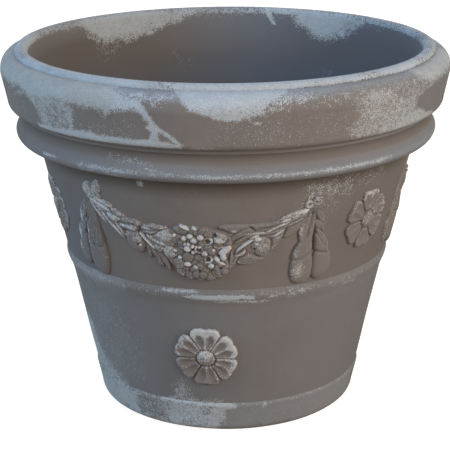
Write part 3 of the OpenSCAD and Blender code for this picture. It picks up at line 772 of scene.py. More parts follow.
class Pressing:
    """The face of a press mould: heights above the wall, on a grid in millimetres across and up."""

    def __init__(self, low, high, step=mould_step):
        across = np.arange(low[0], high[0] + step, step)
        up = np.arange(low[1], high[1] + step, step)
        self.step = step
        self.x, self.y = np.meshgrid(across, up)
        self.height = np.full(self.x.shape, buried)
        self.bright = np.zeros(self.x.shape)

    def lay(self, depth, height, groove=1.2, bright=0.0):
        """Presses in a form, given how far inside its outline each point is, and its height there."""
        skirt = np.where(depth < 0, height + depth * 2.4, height)
        lip = groove * np.exp(-(np.minimum(depth, 0) / 0.8) ** 2)
        under = np.where(self.height > 0, np.maximum(self.height - lip, 0.3), self.height)
        on_top = skirt > under
        self.height = np.where(on_top, np.maximum(skirt, buried), under)
        self.bright = np.where(on_top & (depth > -0.5), bright, self.bright)

    def leaf(self, base, tip, width, rise, bend=0.0, bright=0.0, vein=0.6, blunt=0.8):
        """A pointed leaf with a crease down it, bowed to one side by its bend."""
        base, tip = np.array(base, float), np.array(tip, float)
        length = np.hypot(*(tip - base))
        way = (tip - base) / length
        # u runs along the leaf, and v across it.
        u = (self.x - base[0]) * way[0] + (self.y - base[1]) * way[1]
        v = (self.y - base[1]) * way[0] - (self.x - base[0]) * way[1]
        share = np.clip(u / length, 0, 1)
        v = v - 4 * bend * share * (1 - share)
        half = width / 2 * np.sin(math.pi * share ** blunt) ** 0.65
        past = np.maximum(np.maximum(u - length, -u), 0)
        depth = np.where(past > 0, -np.hypot(past, v), half - np.abs(v))
        off = np.clip(v / np.maximum(half, 0.1), -1, 1)
        body = rise * (0.5 + 0.5 * np.sqrt(1 - off ** 2)) * (0.76 + 0.24 * share)
        crease = vein * np.exp(-(v / 0.8) ** 2) * np.sin(math.pi * share) ** 0.5
        self.lay(depth, body - crease, bright=bright)

    def dome(self, middle, size, rise, tilt=0.0, bright=0.0, hole=0.0, edge=0.25, groove=1.2, power=0.5):
        """A rounded lump, such as a berry or a petal. A hole is a share of its size."""
        c, s = math.cos(tilt * degree), math.sin(tilt * degree)
        dx, dy = self.x - middle[0], self.y - middle[1]
        u, v = (dx * c + dy * s) / size[0], (dy * c - dx * s) / size[1]
        far = np.hypot(u, v)
        depth = (1 - far) * min(size)
        height = rise * (edge + (1 - edge) * np.clip(1 - far ** 2, 0, 1) ** power)
        if hole:
            height = height - rise * 0.75 * np.exp(-(far / hole) ** 4)
        self.lay(depth, height, bright=bright, groove=groove)

    def pillow(self, corners, rise, swell, bright=0.0, groove=1.2, edge=0.2, glint=None):
        """A plump form with a smooth outline through its corners, rounded off within swell of it.

        A glint is a place, its size and the wash that is left round it."""
        outline = np.array(corners, float)
        before, after = np.roll(outline, 1, 0), np.roll(outline, -1, 0)
        beyond = np.roll(outline, -2, 0)
        # A cubic curve runs through the corners, five points to each.
        curve = []
        for share in np.arange(0, 1, 0.2):
            a, b, c = share, share ** 2, share ** 3
            curve.append(0.5 * ((2 * outline) + (after - before) * a
                                + (2 * before - 5 * outline + 4 * after - beyond) * b
                                + (3 * outline - before - 3 * after + beyond) * c))
        curve = np.stack(curve, 1).reshape(-1, 2)
        inside = np.zeros(self.x.shape, bool)
        far = np.full(self.x.shape, np.inf)
        for (x0, y0), (x1, y1) in zip(curve, np.roll(curve, -1, 0)):
            dx, dy = x1 - x0, y1 - y0
            along = np.clip(((self.x - x0) * dx + (self.y - y0) * dy) / max(dx * dx + dy * dy, 1e-9), 0, 1)
            far = np.minimum(far, np.hypot(self.x - x0 - along * dx, self.y - y0 - along * dy))
            if y0 != y1:
                crosses = (y0 > self.y) != (y1 > self.y)
                inside ^= crosses & (self.x < x0 + (self.y - y0) * dx / dy)
        depth = np.where(inside, far, -far)
        round_off = np.clip(depth / swell, 0, 1)
        height = rise * (edge + (1 - edge) * np.sqrt(1 - (1 - round_off) ** 2))
        if glint:
            (gx, gy), (sx, sy), most_there = glint
            spot = np.exp(-((self.x - gx) / sx) ** 2 - ((self.y - gy) / sy) ** 2)
            bright = bright + (most_there - bright) * spot
        self.lay(depth, height, groove, bright)

    def prick(self, middle, radius, deep):
        """A dark hole pressed into what is there already."""
        far = np.hypot(self.x - middle[0], self.y - middle[1]) / radius
        self.height = np.where(self.height > 0, self.height - deep * np.exp(-far ** 4), self.height)

    def ridges(self, reach=2.0):
        """Where the form stands up from what is round it, which is where wash is left."""
        ground = np.maximum(self.height, 0)
        smooth = ground
        taps = np.exp(-0.5 * (np.arange(-6, 7) * self.step / reach) ** 2)
        for axis in (0, 1):
            size = smooth.shape[axis]
            padded = np.pad(smooth, [(6, 6) if a == axis else (0, 0) for a in (0, 1)], mode="edge")
            shifted = [t * np.take(padded, range(k, k + size), axis) for k, t in enumerate(taps)]
            smooth = sum(shifted) / taps.sum()
        return ground - smooth

    def stick(self, node, place, on_bright, seed, thick):
        """Bends a copy of the pressing on to the wall, at a place of azimuth and height.

        On_bright is the wash that its bright forms keep. Thick is the share of its
        height left once it was pushed on."""
        x, y = self.x, self.y
        left_on = np.where(self.height > 0, self.height * thick, self.height)
        z = place[1] + y
        az = place[0] + x / wall_r(place[1]) / degree
        keep = np.zeros(np.array(x.shape) - 1, bool)
        raised = self.height > -0.6
        for rows in (slice(0, -1), slice(1, None)):
            for columns in (slice(0, -1), slice(1, None)):
                keep |= raised[rows, columns]
        # Where two cells meet only at a corner, a third is kept beside them, so that
        # the piece can be closed.
        for _ in range(4):
            falling = keep[:-1, :-1] & keep[1:, 1:] & ~keep[1:, :-1] & ~keep[:-1, 1:]
            rising = ~keep[:-1, :-1] & ~keep[1:, 1:] & keep[1:, :-1] & keep[:-1, 1:]
            keep[:-1, :-1] |= rising
            keep[1:, :-1] |= falling
        drift = ripple(az, z, seed, 60, 25)
        wash = rubbed_all_over + rubbed_on_ridges * np.clip(self.ridges(), -1, 1.2)
        wash = wash + self.bright * (on_bright + 0.1 * drift)
        # Painted shade in the creases between the forms.
        crease = np.clip(-0.45 * self.ridges(1.3), 0, 0.9)

        def bent(height):
            r = wall_r(z) + waver(az, z) + height
            turn = az * degree
            return np.stack([r * np.sin(turn), -r * np.cos(turn), z], -1).reshape(-1, 3)

        points = np.concatenate([bent(left_on), bent(np.full(x.shape, pressing_back))])
        count = x.size
        index = np.arange(count).reshape(x.shape)
        a, b = index[:-1, :-1][keep], index[:-1, 1:][keep]
        c, d = index[1:, 1:][keep], index[1:, :-1][keep]
        quads = [np.stack([a, b, c, d], -1), np.stack([d, c, b, a], -1) + count]
        # A side goes down to the back wherever the next cell is empty.
        framed = np.pad(keep, 1)
        sides = (
            (~framed[:-2, 1:-1], index[:-1, 1:], index[:-1, :-1]),
            (~framed[2:, 1:-1], index[1:, :-1], index[1:, 1:]),
            (~framed[1:-1, :-2], index[:-1, :-1], index[1:, :-1]),
            (~framed[1:-1, 2:], index[1:, 1:], index[:-1, 1:]),
        )
        for open_side, start, end in sides:
            edge = keep & open_side
            quads.append(np.stack([start[edge], end[edge], end[edge] + count, start[edge] + count], -1))
        quads = np.concatenate(quads)
        used, packed = np.unique(quads, return_inverse=True)
        fields = {"wash": wash, "pale_and_lit": 0.2 + 0.8 * self.bright, "painted_shade": crease, "cool_tone_and_light": cool_light_side(az, z)}
        fields = {field: np.concatenate([values.ravel()] * 2)[used] for field, values in fields.items()}
        piece = solid(f"{node}_clay", points[used], packed.reshape(-1, 4), **fields)
        finish_clay(piece, relief, node)


def fix_three(pressing, name, turn, z, wash, kept=wash_kept, stray=(0, 0, 0), lift=(0, 0, 0),
              thick=(1, 1, 1)):
    """Sticks three copies on to the wall, each at the same turn from its garland's middle.

    They were pushed on by hand, so each may have its own wash, stray by some degrees,
    sit higher or be flatter. The copies go from the front garland to the right."""
    for i in range(3):
        place = (front + 120 * i + turn + stray[i], z + lift[i])
        pressing.stick(f"{name}_{i + 1}", place, wash * kept[i], 70 + i, thick[i])


relief = fired_clay("relief_clay_finish", thin_wash=rubbed_wash, thick_wash=white_wash)

left_half = Pressing((-134, -84), (-18, 8))
left_half.pillow([(-118, -3), (-104, -6), (-86, -14), (-62, -22), (-40, -24), (-28, -30), (-34, -42),
                  (-44, -50), (-58, -46), (-74, -34), (-96, -28), (-112, -14)], 2.0, 6, groove=0)
for base, tip, width, bright in (
    ((-56, -44), (-40, -69), 8, 0.06), ((-50, -47), (-43, -69), 6, 0.04), ((-45, -48), (-33, -73), 7, 0.06),
    ((-40, -46), (-27, -67), 7, 0.1), ((-57, -43), (-46, -59), 5, 0.1), ((-58, -44), (-55, -60), 4, 0.1),
):
    left_half.leaf(base, tip, width, 4.0, 1.2, bright)
left_half.pillow([(-82, -33), (-75, -31), (-65, -31), (-60, -36), (-58, -42), (-60, -49), (-65, -56),
                  (-72, -55), (-79, -50), (-82, -42)], 5.8, 9, 0.1, glint=((-66, -39), (6, 6), 0.55))
left_half.dome((-64, -46), (2.2, 2.0), 6.6, bright=0.95, groove=0.8)
left_half.prick((-67, -45.5), 1.3, 2.2)
left_half.pillow([(-98, -9), (-88, -11), (-80, -16), (-85, -21), (-93, -18)], 3.8, 4, 0.42)
left_half.pillow([(-90, -21), (-83, -17), (-72, -17.5), (-63, -19), (-60, -23), (-65, -26), (-73, -24),
                  (-81, -24)], 4.2, 4, 0.28)
left_half.pillow([(-121, -2), (-114, 0), (-106, -2), (-99, -4), (-96, -8), (-101, -10), (-108, -8),
                  (-116, -6)], 3.8, 4, 0.55)
left_half.pillow([(-90, -25), (-82, -25), (-73, -25), (-67, -26), (-64, -28.5), (-70, -31.5), (-77, -31),
                  (-84, -29.5)], 4.8, 4, 0.4, glint=((-84, -27), (4, 2), 0.9))
left_half.leaf((-82, -27), (-68, -30), 4, 5.2, 0, 0.6)
left_half.pillow([(-104, -15), (-95, -16.5), (-86, -20), (-93, -24.5), (-100, -23)], 4.3, 4, 0.75)
left_half.leaf((-120, -9), (-104, -19), 4, 4.2, 0, 0.6)
left_half.leaf((-126, -6), (-103, -30), 6, 3.8, -1, 0.25)
left_half.leaf((-126, -5), (-104, -28), 2.6, 4.8, -0.8, 0.9, vein=0)
left_half.leaf((-126, -3), (-98, -13.5), 3.4, 4.9, 0.5, 0.95, vein=0)
left_half.leaf((-112, -14), (-82, -42), 8, 4.2, -1, 0.2)
left_half.leaf((-111, -15), (-83, -41), 2.8, 5.2, -1, 0.95, vein=0)
left_half.leaf((-94, -24), (-83, -38), 3, 4.8, -0.5, 0.6)
left_half.pillow([(-60, -22), (-50, -20.5), (-38, -21), (-31, -23), (-39, -27), (-51, -27), (-60, -26)],
                 4.6, 4, 0.3)
left_half.leaf((-61, -25), (-48, -26.6), 2.6, 5.2, 0, 0.9, vein=0)
left_half.pillow([(-61, -28), (-54, -27.5), (-45, -27), (-40, -28), (-47, -33.5), (-53, -33), (-58, -31)],
                 4.8, 3, 0.15)
left_half.pillow([(-59, -36), (-50, -39), (-40, -43.5), (-36, -48), (-41, -53), (-49, -49), (-56, -43)],
                 4.6, 4, 0.3)
left_half.pillow([(-57, -32.5), (-49, -33.5), (-40, -38), (-29, -43.5), (-34, -46), (-44, -43.5), (-52, -40)],
                 5.0, 4, 0.48)
left_half.pillow([(-48, -33), (-39, -27), (-31, -24), (-26, -25), (-24, -32), (-29, -39), (-38, -40),
                  (-43, -37)], 5.2, 5, 0.62)
left_half.leaf((-64, -31), (-46, -49), 3.4, 6.0, -0.8, 0.98, vein=0)
left_half.prick((-64.5, -29.5), 2.2, 3.4)

right_half = Pressing((16, -84), (130, 6))
right_half.pillow([(30, -20), (60, -20), (92, -18), (96, -26), (80, -40), (70, -52), (48, -58), (36, -52),
                   (32, -36)], 2.0, 6, groove=0)
right_half.leaf((42, -50), (33, -69), 8, 3.8, 1, 0.1)
right_half.leaf((39, -46), (36, -61), 5, 3.8, 0, 0.25)
right_half.pillow([(43, -59), (48, -54), (54, -51), (59, -52), (64, -55), (73, -57), (64, -61), (54, -64),
                   (45, -63)], 4.6, 4, 0.12)
right_half.leaf((46, -60), (68, -57.5), 4, 4.9, 0, 0.1)
right_half.pillow([(119, -13), (107, -18), (97, -23), (94, -29), (91.5, -34), (97, -36.5), (107, -31),
                   (114, -24), (119, -17)], 4.4, 7, 0.03)
right_half.pillow([(93, -26), (87, -28), (81, -33), (78, -41), (78.5, -49), (84, -46), (88, -41), (92, -34)],
                  4.2, 4, 0.12, glint=((86, -34), (4, 4), 0.35))
right_half.pillow([(70, -32), (79, -37), (79.5, -46), (77, -52), (71, -55.5), (64, -53), (59, -47), (58, -40),
                   (62, -35)], 4.8, 10, 0.12, glint=((68, -40), (9, 7), 0.42))
right_half.dome((64.5, -35), (4.4, 2.2), 5.4, tilt=12, bright=1.0, groove=0.5)
right_half.dome((63.5, -40), (2.8, 1.7), 5.6, bright=0.9, groove=0.5)
right_half.prick((61.5, -46), 1.6, 2.8)
right_half.pillow([(23, -19.5), (31, -16.5), (54, -16.5), (63, -19), (56, -20.5), (47, -24.5), (38, -27.5),
                   (30, -24)], 4.4, 4, 0.04, glint=((40, -24.5), (3, 1.4), 0.8))
right_half.pillow([(54, -17), (78, -15.5), (90, -13), (92, -19), (82, -21.5), (68, -22.5), (62, -24.5),
                   (58, -21)], 4.2, 4, 0.06)
right_half.pillow([(55, -20.5), (62, -27), (53, -27.5), (42, -32.5), (36, -38.5), (31, -39), (37, -31),
                   (46, -24)], 4.6, 4, 0.04)
right_half.leaf((60, -25), (35, -36), 3, 5.2, -1, 0.1, vein=0)
right_half.pillow([(120, -9), (107, -15.5), (96, -18.5), (89, -22.5), (81, -25.5), (70, -27.5), (53, -27.5),
                   (62, -30), (74, -30.5), (84, -29), (92, -25), (100, -22), (112, -17)], 4.8, 3, 0.18)
right_half.leaf((99, -17.5), (72, -28), 2.8, 5.5, -1, 0.8, vein=0)
right_half.leaf((75, -27.8), (52, -28), 2.6, 5.4, 0, 0.7, vein=0)
right_half.leaf((94, -24.5), (80, -33.5), 2.8, 5.4, 0, 0.98, vein=0)
right_half.pillow([(120, -5), (110, -5), (99, -7.5), (90, -11.5), (88, -17), (96, -18), (107, -15),
                   (115, -12)], 5.0, 4, 0.4, glint=((115, -6.5), (4, 1.8), 1.0))
right_half.leaf((100, -13.5), (88, -17), 2.6, 5.5, 0, 0.9, vein=0)
right_half.pillow([(54, -28), (62, -30.5), (53, -34), (43, -39), (38, -39), (44, -33.5)], 4.8, 3, 0.06)
right_half.leaf((66, -30), (56, -33.5), 2.6, 5.6, 0, 0.95, vein=0)
right_half.pillow([(60, -36), (53, -42), (48, -46), (40, -54), (41, -47), (50, -39.5)], 5.0, 3, 0.1)
right_half.leaf((60, -35), (41, -48.5), 3.2, 6.0, -1, 1.0, vein=0)
right_half.pillow([(52, -46), (45, -50), (40, -54.5), (48, -53.5), (52, -49.5)], 5.2, 3, 0.6)

fix_three(left_half, "left_spray", 0, knot_z, wash=0.9)
fix_three(right_half, "right_spray", 0, knot_z, wash=0.9, thick=[right_spray_thick] * 3)

# Posies
# The bunch of flowers and berries that hides the joint of a garland's halves.
# Its berries are tiny balls of clay, and most of them are still white.
posy_drop = 51
posy = Pressing((-40, -34), (40, 36), step=0.7)
posy.pillow([(-35, 3), (-31, -6), (-26, -10), (-25, -17), (-22, -22), (-13.5, -28), (-1, -30), (11, -29.5),
             (23, -24.5), (29, -18), (30, -7), (32, -0.5), (35, 6), (34, 12), (32, 21.5), (27, 26),
             (17, 27.5), (10, 30), (-1, 31), (-13, 32), (-21, 28.5), (-28, 18), (-33, 10)], 3.2, 4,
            edge=0.5, groove=0)
petals = [
    # across, up, half its width, half its height, share of it that is white
    (-17, -22, 6, 5, 0.1), (-8, -25.5, 6, 4.5, 0.05), (2, -26.5, 6.5, 4.5, 0.03), (12, -26, 6.5, 4.5, 0.05),
    (21, -22, 6.5, 5, 0.05), (27, -12, 4.5, 5.5, 0.06), (31, 14, 4, 6, 0.1), (-28, 12, 5.5, 6, 0.12),
    (-25, 22, 5, 5, 0.12), (-28, 0.5, 7.5, 6.5, 0.5), (-18, 2.4, 4.8, 4.8, 0.04), (-14.5, 8, 4.5, 4, 0.1),
    (-15, 27.3, 7.5, 4.8, 0.08), (-2.5, 27, 6, 4.5, 0.06), (1.7, 24.5, 4.5, 4, 0.06), (7, 25.5, 5.5, 5, 0.03),
    (11.6, 22.5, 4, 4.5, 0.08), (-20.5, 17, 5.6, 5.6, 0.1), (-15, 12.5, 4, 4, 0.1), (10, 8.5, 5, 4, 0.1),
    (14, 3, 4.5, 4, 0.06), (5.5, 12.5, 4.5, 4, 0.1), (1, -6, 5.5, 5.5, 0.03), (5, -12, 5, 5, 0.03),
    (-4, -11, 4.5, 4, 0.05), (-19.5, -12, 6.5, 6.5, 0.16), (-6, 14, 4, 4, 0.2), (18, -10, 5, 4, 0.05),
]
for x, y, half_w, half_h, bright in petals:
    posy.dome((x, y), (half_w, half_h), 4.8, bright=bright, edge=0.72, power=0.25, groove=1.4)


def blossom(middle, radius, bright, turn, rise=5.6):
    """An open flower of five round petals, flat as if it had been pressed with a thumb."""
    for k in range(5):
        lean = (turn + 360 * k / 5) * degree
        at = (middle[0] + 0.56 * radius * math.cos(lean), middle[1] + 0.56 * radius * math.sin(lean))
        posy.dome(at, (0.5 * radius, 0.5 * radius), rise, bright=bright, groove=1.0, edge=0.55, power=0.4)
    posy.prick(middle, 0.16 * radius, 1.6)


blossom((1.5, -20.5), 9.5, 0.03, 18)
blossom((23.5, -16.5), 8.5, 0.1, 30)
posy.dome((-10, -4.3), (5.8, 5.8), 5.4, bright=0.02, edge=0.7, power=0.25, groove=1.8)
# A white flower, the white smear under it and the pale strip between them
posy.pillow([(15, 11), (22, 8.5), (29, 10), (26, 7), (20, 6.5)], 4.6, 2, 0.6)
posy.pillow([(17, 21), (19.5, 25.5), (26, 24.5), (31, 20), (29.5, 14), (22.5, 11.5), (17, 14.5)], 5.6, 4, 0.3,
            glint=((22, 16), (5.5, 4.5), 1.0))
posy.prick((19, 22), 2.1, 3.6)
posy.pillow([(21, 1), (25.4, 7.5), (32.3, 11), (35, 7.5), (32.6, 3), (29, -0.4), (29.5, -5), (26, -8),
             (23.2, -4.5)], 5.8, 3, 1.0)
posy.prick((21.8, -1.8), 2.2, 3.8)
# Little cups, each with the wash left on one side of its rim
for middle, radius in (((10.6, 15), 4.8), ((1.9, 4.9), 4.8), ((10.9, -5.9), 4.8), ((-13.6, -20.4), 3.2)):
    posy.dome(middle, (radius, radius), 5.6, bright=0.12, hole=0.55, edge=0.6)
posy.pillow([(12.5, 19.8), (16, 18), (16, 13.5), (11.5, 11), (8.3, 11.4), (12.5, 13.2), (14, 15.5),
             (13.2, 18)], 6.2, 1.4, 1.0, groove=0.6)
posy.pillow([(-1, 9.6), (-3, 5), (-1.5, 0.8), (0, 1.6), (-0.8, 5), (0.8, 8.6)], 6.2, 1.4, 0.95, groove=0.6)
posy.pillow([(13.4, -2.6), (16.4, -5.5), (14, -9.6), (8.5, -10.4), (7, -8.6), (12, -7.8), (13.4, -6)], 6.2,
            1.4, 1.0, groove=0.6)
glints = [
    # across, up, half its length, half its width, lean
    (-11, 30, 5, 1.7, -25), (-1.5, 29.6, 2.8, 1.8, -20), (-22.5, 20.6, 2.4, 1.7, 40), (-22.5, 3, 1.8, 1.6, 0),
    (2.6, 8.2, 2.2, 1.2, 0), (20, -6, 3.6, 2.3, -50), (16.6, 4.7, 1.7, 1.7, 0), (-10.6, -12.6, 3.6, 2.5, 0),
    (-18.3, -5, 2.2, 1.8, 0), (-2, -15.2, 2.8, 1.5, -20), (25.1, -10.3, 3.4, 1.5, -25),
]
for x, y, half_l, half_w, lean in glints:
    posy.dome((x, y), (half_l, half_w), 6.0, tilt=lean, bright=1.0, groove=0.5, edge=0.6)
berries = [
    # across, up, radius, share of it that is white
    (-12.7, 17.8, 3.0, 0.95), (-6.6, 20.1, 3.2, 1.0), (-2.8, 15.8, 3.6, 0.75), (3.8, 19.3, 3.6, 1.0),
    (-11.9, 11.3, 1.9, 0.6), (-8.4, 10.9, 2.1, 0.8), (-4.4, 8.5, 2.1, 0.9), (-9.9, 5.6, 3.9, 1.0),
    (-4.2, 2.0, 2.2, 0.8), (7.6, 0.6, 3.4, 0.75), (13.6, -13.7, 3.8, 0.6),
]
for x, y, radius, bright in berries:
    posy.dome((x, y), (0.9 * radius, 0.9 * radius), 7.0, bright=bright, groove=2.2, edge=0.5)

fix_three(posy, "posy", 0, knot_z - posy_drop, wash=0.95)

# Ribbon bows
# Strips of clay looped by hand and pinched at the middle, which hide the nail
# that a garland seems to hang from.
knot_x = 121.5
bow_turn = knot_x / wall_r(knot_z) / degree

left_bow = Pressing((-20, -12), (20, 25), step=0.7)
left_bow.pillow([(-15, 7), (-11, 13), (-4, 16), (1, 13), (1, 6), (-4, 0), (-9, -2), (-13, 2)], 2.4, 5, 0.45)
left_bow.pillow([(0, 5), (1, 13), (6, 18), (11, 20), (14, 15), (13, 9), (9, 3), (3, 1)], 2.4, 5, 0.4)
left_bow.leaf((-5, -1), (-11, 11), 6, 3.2, 1, 0.6)
left_bow.leaf((-3, 0), (-2, 14), 5, 3.1, 1, 0.55)
left_bow.leaf((0, 2), (9, 18), 6, 3.1, -1, 0.6)
left_bow.leaf((1, 1), (13, 8), 5, 2.8, 1, 0.4)
left_bow.leaf((-1, 0), (13, 0), 6, 2.4, 1, 0.3)
left_bow.dome((-4.5, -1), (4.4, 4.0), 3.4, bright=0.55)

right_bow = Pressing((-15, -13), (20, 16), step=0.7)
right_bow.pillow([(-6, 0), (-4, 8), (3, 9), (9, 8), (14, 3), (14, -3), (8, -6), (0, -6)], 2.8, 5, 0.15)
right_bow.dome((-2.4, -0.3), (4.8, 4.8), 5.2, bright=0.9, hole=0.55)
right_bow.dome((6.0, 2.2), (5.6, 5.0), 5.4, bright=0.55, hole=0.5)
right_bow.leaf((5, 3), (12, 6), 4, 4.2, 0, 0.5)
right_bow.leaf((-3, 4), (0, 14), 6, 1.6, -0.8, 0.55)

fix_three(left_bow, "left_bow", -bow_turn, knot_z, wash=0.9, thick=(1, 0.5, 1))
fix_three(right_bow, "right_bow", bow_turn, knot_z, wash=0.62)

# Hanging fruit
# Each pair of ripe figs hangs under a bow in a husk of long leaves. They were
# pressed deep and smoothed with a wet finger.
fig_rise = 6.2
husk_rise = 5.4

right_drops = Pressing((-24, -98), (42, -6), step=0.6)
right_drops.pillow([(-17.5, -73), (-15, -56), (-6, -46), (4, -46), (8, -58), (11, -72), (10.5, -84),
                    (5, -91), (-4.5, -93), (-12, -90), (-16.5, -82)], fig_rise, 10, 0.05,
                   glint=((-9, -76), (7, 9), 0.6))
right_drops.pillow([(-17, -61.5), (-9.5, -63.5), (0, -60.5), (6.4, -55.7), (6, -42), (3, -28), (-4, -36),
                    (-11, -44), (-15.5, -52)], husk_rise + 1.2, 6, 0.04, glint=((-14, -55), (4, 6), 0.4))
right_drops.pillow([(0.5, -9.5), (-5.5, -16), (-11.3, -26.7), (-11, -37), (-7.5, -45), (-1.5, -38), (3, -28),
                    (3.5, -18)], 4.4, 5, 0.1, glint=((-9.5, -29), (1.8, 8), 0.8))
right_drops.leaf((5, -9), (2, -58), 7, 5.6, -1, 0.03, vein=0)
right_drops.leaf((7.5, -9), (18, -28), 8, 3.6, 2, 0.03)
right_drops.pillow([(10.5, -60), (10.3, -72), (10.5, -83), (14, -89), (20, -91), (28, -88.5), (34, -82),
                    (35.5, -73), (34, -64), (28, -55), (18, -50)], fig_rise, 10, 0.02)
right_drops.leaf((7, -20), (19, -41), 9, 4.4, 2, 0.03)
right_drops.pillow([(9, -48.5), (11, -55), (15.8, -57.8), (22, -60), (28.8, -60.2), (28.6, -54), (27, -47),
                    (21, -38), (14, -31), (8.5, -34)], husk_rise + 1.2, 5, 0.02)
right_drops.leaf((9, -30), (21, -50), 7, 7.2, 1.5, 0.03, vein=0.8)

left_drops = Pressing((-50, -100), (14, -4), step=0.6)
left_drops.pillow([(-38, -55), (-43.5, -62), (-45, -69), (-43.2, -77), (-39, -84), (-34.8, -87.5),
                   (-29, -86), (-26.5, -80), (-25, -66), (-24, -54), (-29, -47)], 4.6, 7, 0.1,
                  glint=((-41, -68), (3.5, 15), 0.95))
left_drops.pillow([(-19.6, -29.8), (-28, -34), (-37, -41), (-40, -49), (-37.9, -57), (-31, -56), (-26, -48),
                   (-22, -40)], 3.8, 3, 0.15, glint=((-36, -48), (3, 9), 0.95))
left_drops.pillow([(-30, -40), (-34, -45), (-34, -52), (-30, -53), (-27, -47)], 1.8, 2, 0.4, groove=0)
left_drops.pillow([(-15, -7), (-24, -14), (-30, -24), (-31.5, -33), (-29, -38), (-22, -32), (-17, -22),
                   (-13, -12)], 3.0, 3, 0.15, glint=((-28, -27), (3, 9), 0.95))
left_drops.leaf((-17, -12), (-27, -34), 3, 3.8, 0.8, 0.5, vein=0)
left_drops.pillow([(-17, -50.5), (-22.5, -60), (-24.2, -69.4), (-24, -78), (-21.9, -84.3), (-15, -92),
                   (-7, -95), (-1, -92), (2.5, -84), (5, -74), (6, -65), (5, -55), (1, -46), (-8, -43)],
                  fig_rise, 10, 0.03, glint=((-20, -64), (4, 9), 0.35))
left_drops.pillow([(-17, -50.5), (-13.5, -56.5), (-8.5, -59), (-3, -60.5), (2.6, -58.5), (5, -50), (3.5, -42),
                   (0, -34), (-6, -28), (-13, -28), (-18, -38)], husk_rise + 1.2, 5, 0.03)
left_drops.pillow([(-9.5, -6), (-3, -13), (1.8, -27), (1.4, -36), (-1.2, -42), (-6.5, -37), (-13, -29),
                   (-15.5, -18)], 4.6, 6, 0.04)
for base, tip, width, lift, bend, bright in (
    ((-9, -9), (-13, -46), 3.4, 5.6, 1, 0.12), ((-8, -9), (-5, -52), 3.6, 6.2, 0.6, 0.05),
    ((-7, -9), (1, -46), 3.2, 5.6, -0.8, 0.04), ((-14, -36), (-9, -58), 4, 7.2, -1, 0.04),
    ((-5, -34), (2, -57), 4, 7.0, 0.8, 0.04), ((-18, -30), (-20, -58), 3, 5.2, 0.8, 0.5),
):
    left_drops.leaf(base, tip, width, lift, bend, bright, vein=0.3)
# The husk was smoothed down flat towards the bow.
flatter = 0.58 + 0.42 * np.clip((-24 - left_drops.y) / 30, 0, 1)
left_drops.height = np.where(left_drops.height > 0, left_drops.height * flatter, left_drops.height)

fix_three(left_drops, "left_drops", -bow_turn, knot_z, wash=0.8, lift=(0, 7, 0), thick=(1, 0.75, 1))
fix_three(right_drops, "right_drops", bow_turn, knot_z, wash=0.8, thick=(0.85, 1, 0.45))

# Rosettes
# Six folded petals round a button. Three flatter ones stand between the garlands,
# and three fuller ones, from a mould of their own, stand under the posies.
rosette_r = (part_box("lower_rosette_1")[1].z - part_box("lower_rosette_1")[0].z) / mm / 2
button_r = 9.3
upper_rosette_drop = 66
upper_rosette_turn = 59
lower_rosette_sink = 1.2
lower_rosette_turn = 0.9


def press_rosette(rise=4.6, size=1.0, stretch=0.1, gap=0.7, notch=0.16):
    """A rosette's mould. Stretch is how much further its top petals reach.

    The gap is half the space between two petals, and the notch is how far it cuts
    into their ends. Each petal is hollowed, with a fold down its middle."""
    mould = Pressing((-37, -37), (37, 37), step=0.7)
    far = np.hypot(mould.x, mould.y)
    turn = np.degrees(np.arctan2(mould.x, mould.y))
    # How far each point is turned from the middle of its petal
    off = np.abs((turn + 30) % 60 - 30)
    reach = rosette_r * (1.0 - 0.035 * np.exp(-(off / 5) ** 2) - notch * np.clip((off - 18) / 12, 0, 1) ** 2)
    reach = reach * size * (1 + stretch * np.cos(turn * degree) * np.cos(turn * degree / 2) ** 4)
    side = far * np.sin((30 - off) * degree) - gap
    depth = np.minimum(side, reach - far)
    edge = np.clip(depth / 2.2, 0, 1)
    petal = rise * (0.42 + 0.58 * np.sqrt(1 - (1 - edge) ** 2))
    # Each petal has two hollows, one on either side of its fold.
    along = far * np.cos((off - 13.5) * degree)
    across = far * np.sin((off - 13.5) * degree)
    scoop = np.hypot((along - 20.0) / 9.5, across / (4.6 * np.clip(along / 21, 0.4, 1.2)))
    petal = petal - 0.56 * rise * np.clip(1.2 - scoop, 0, 1) ** 0.7
    inner = np.clip((far - button_r - 0.8) / 2.0, 0, 1)
    petal = petal * inner + 0.8 * (1 - inner)
    scoop_rim = np.clip(scoop - 0.75, 0, 0.4) / 0.4
    top_side = np.clip(0.55 + 0.014 * mould.y + 0.009 * mould.x, 0.08, 0.95)
    mould.lay(depth, petal, bright=top_side * (0.12 + 0.88 * scoop_rim))
    button = 7.0 * np.sqrt(np.clip(1 - (far / (button_r + 1.6)) ** 2, 0, 1))
    worn = np.clip(0.55 + 0.03 * mould.y - 0.02 * mould.x, 0.2, 0.85)
    mould.lay(button_r - far, button, groove=0.0, bright=worn)
    return mould


upper_mould = press_rosette(rise=3.6, stretch=0.02, gap=1.2, notch=0.34)
lower_mould = press_rosette(size=1.04)

upper_rosette_z = collar_low - upper_rosette_drop
fix_three(upper_mould, "upper_rosette", upper_rosette_turn, upper_rosette_z, wash=1,
          kept=(0.32, 0.14, 0.4), stray=(-1.6, -2.6, -0.6), thick=(1, 1, 0.6))
lower_rosette_z = (foot_h + waist_low) / 2 - lower_rosette_sink
fix_three(lower_mould, "lower_rosette", lower_rosette_turn, lower_rosette_z, wash=0.85)

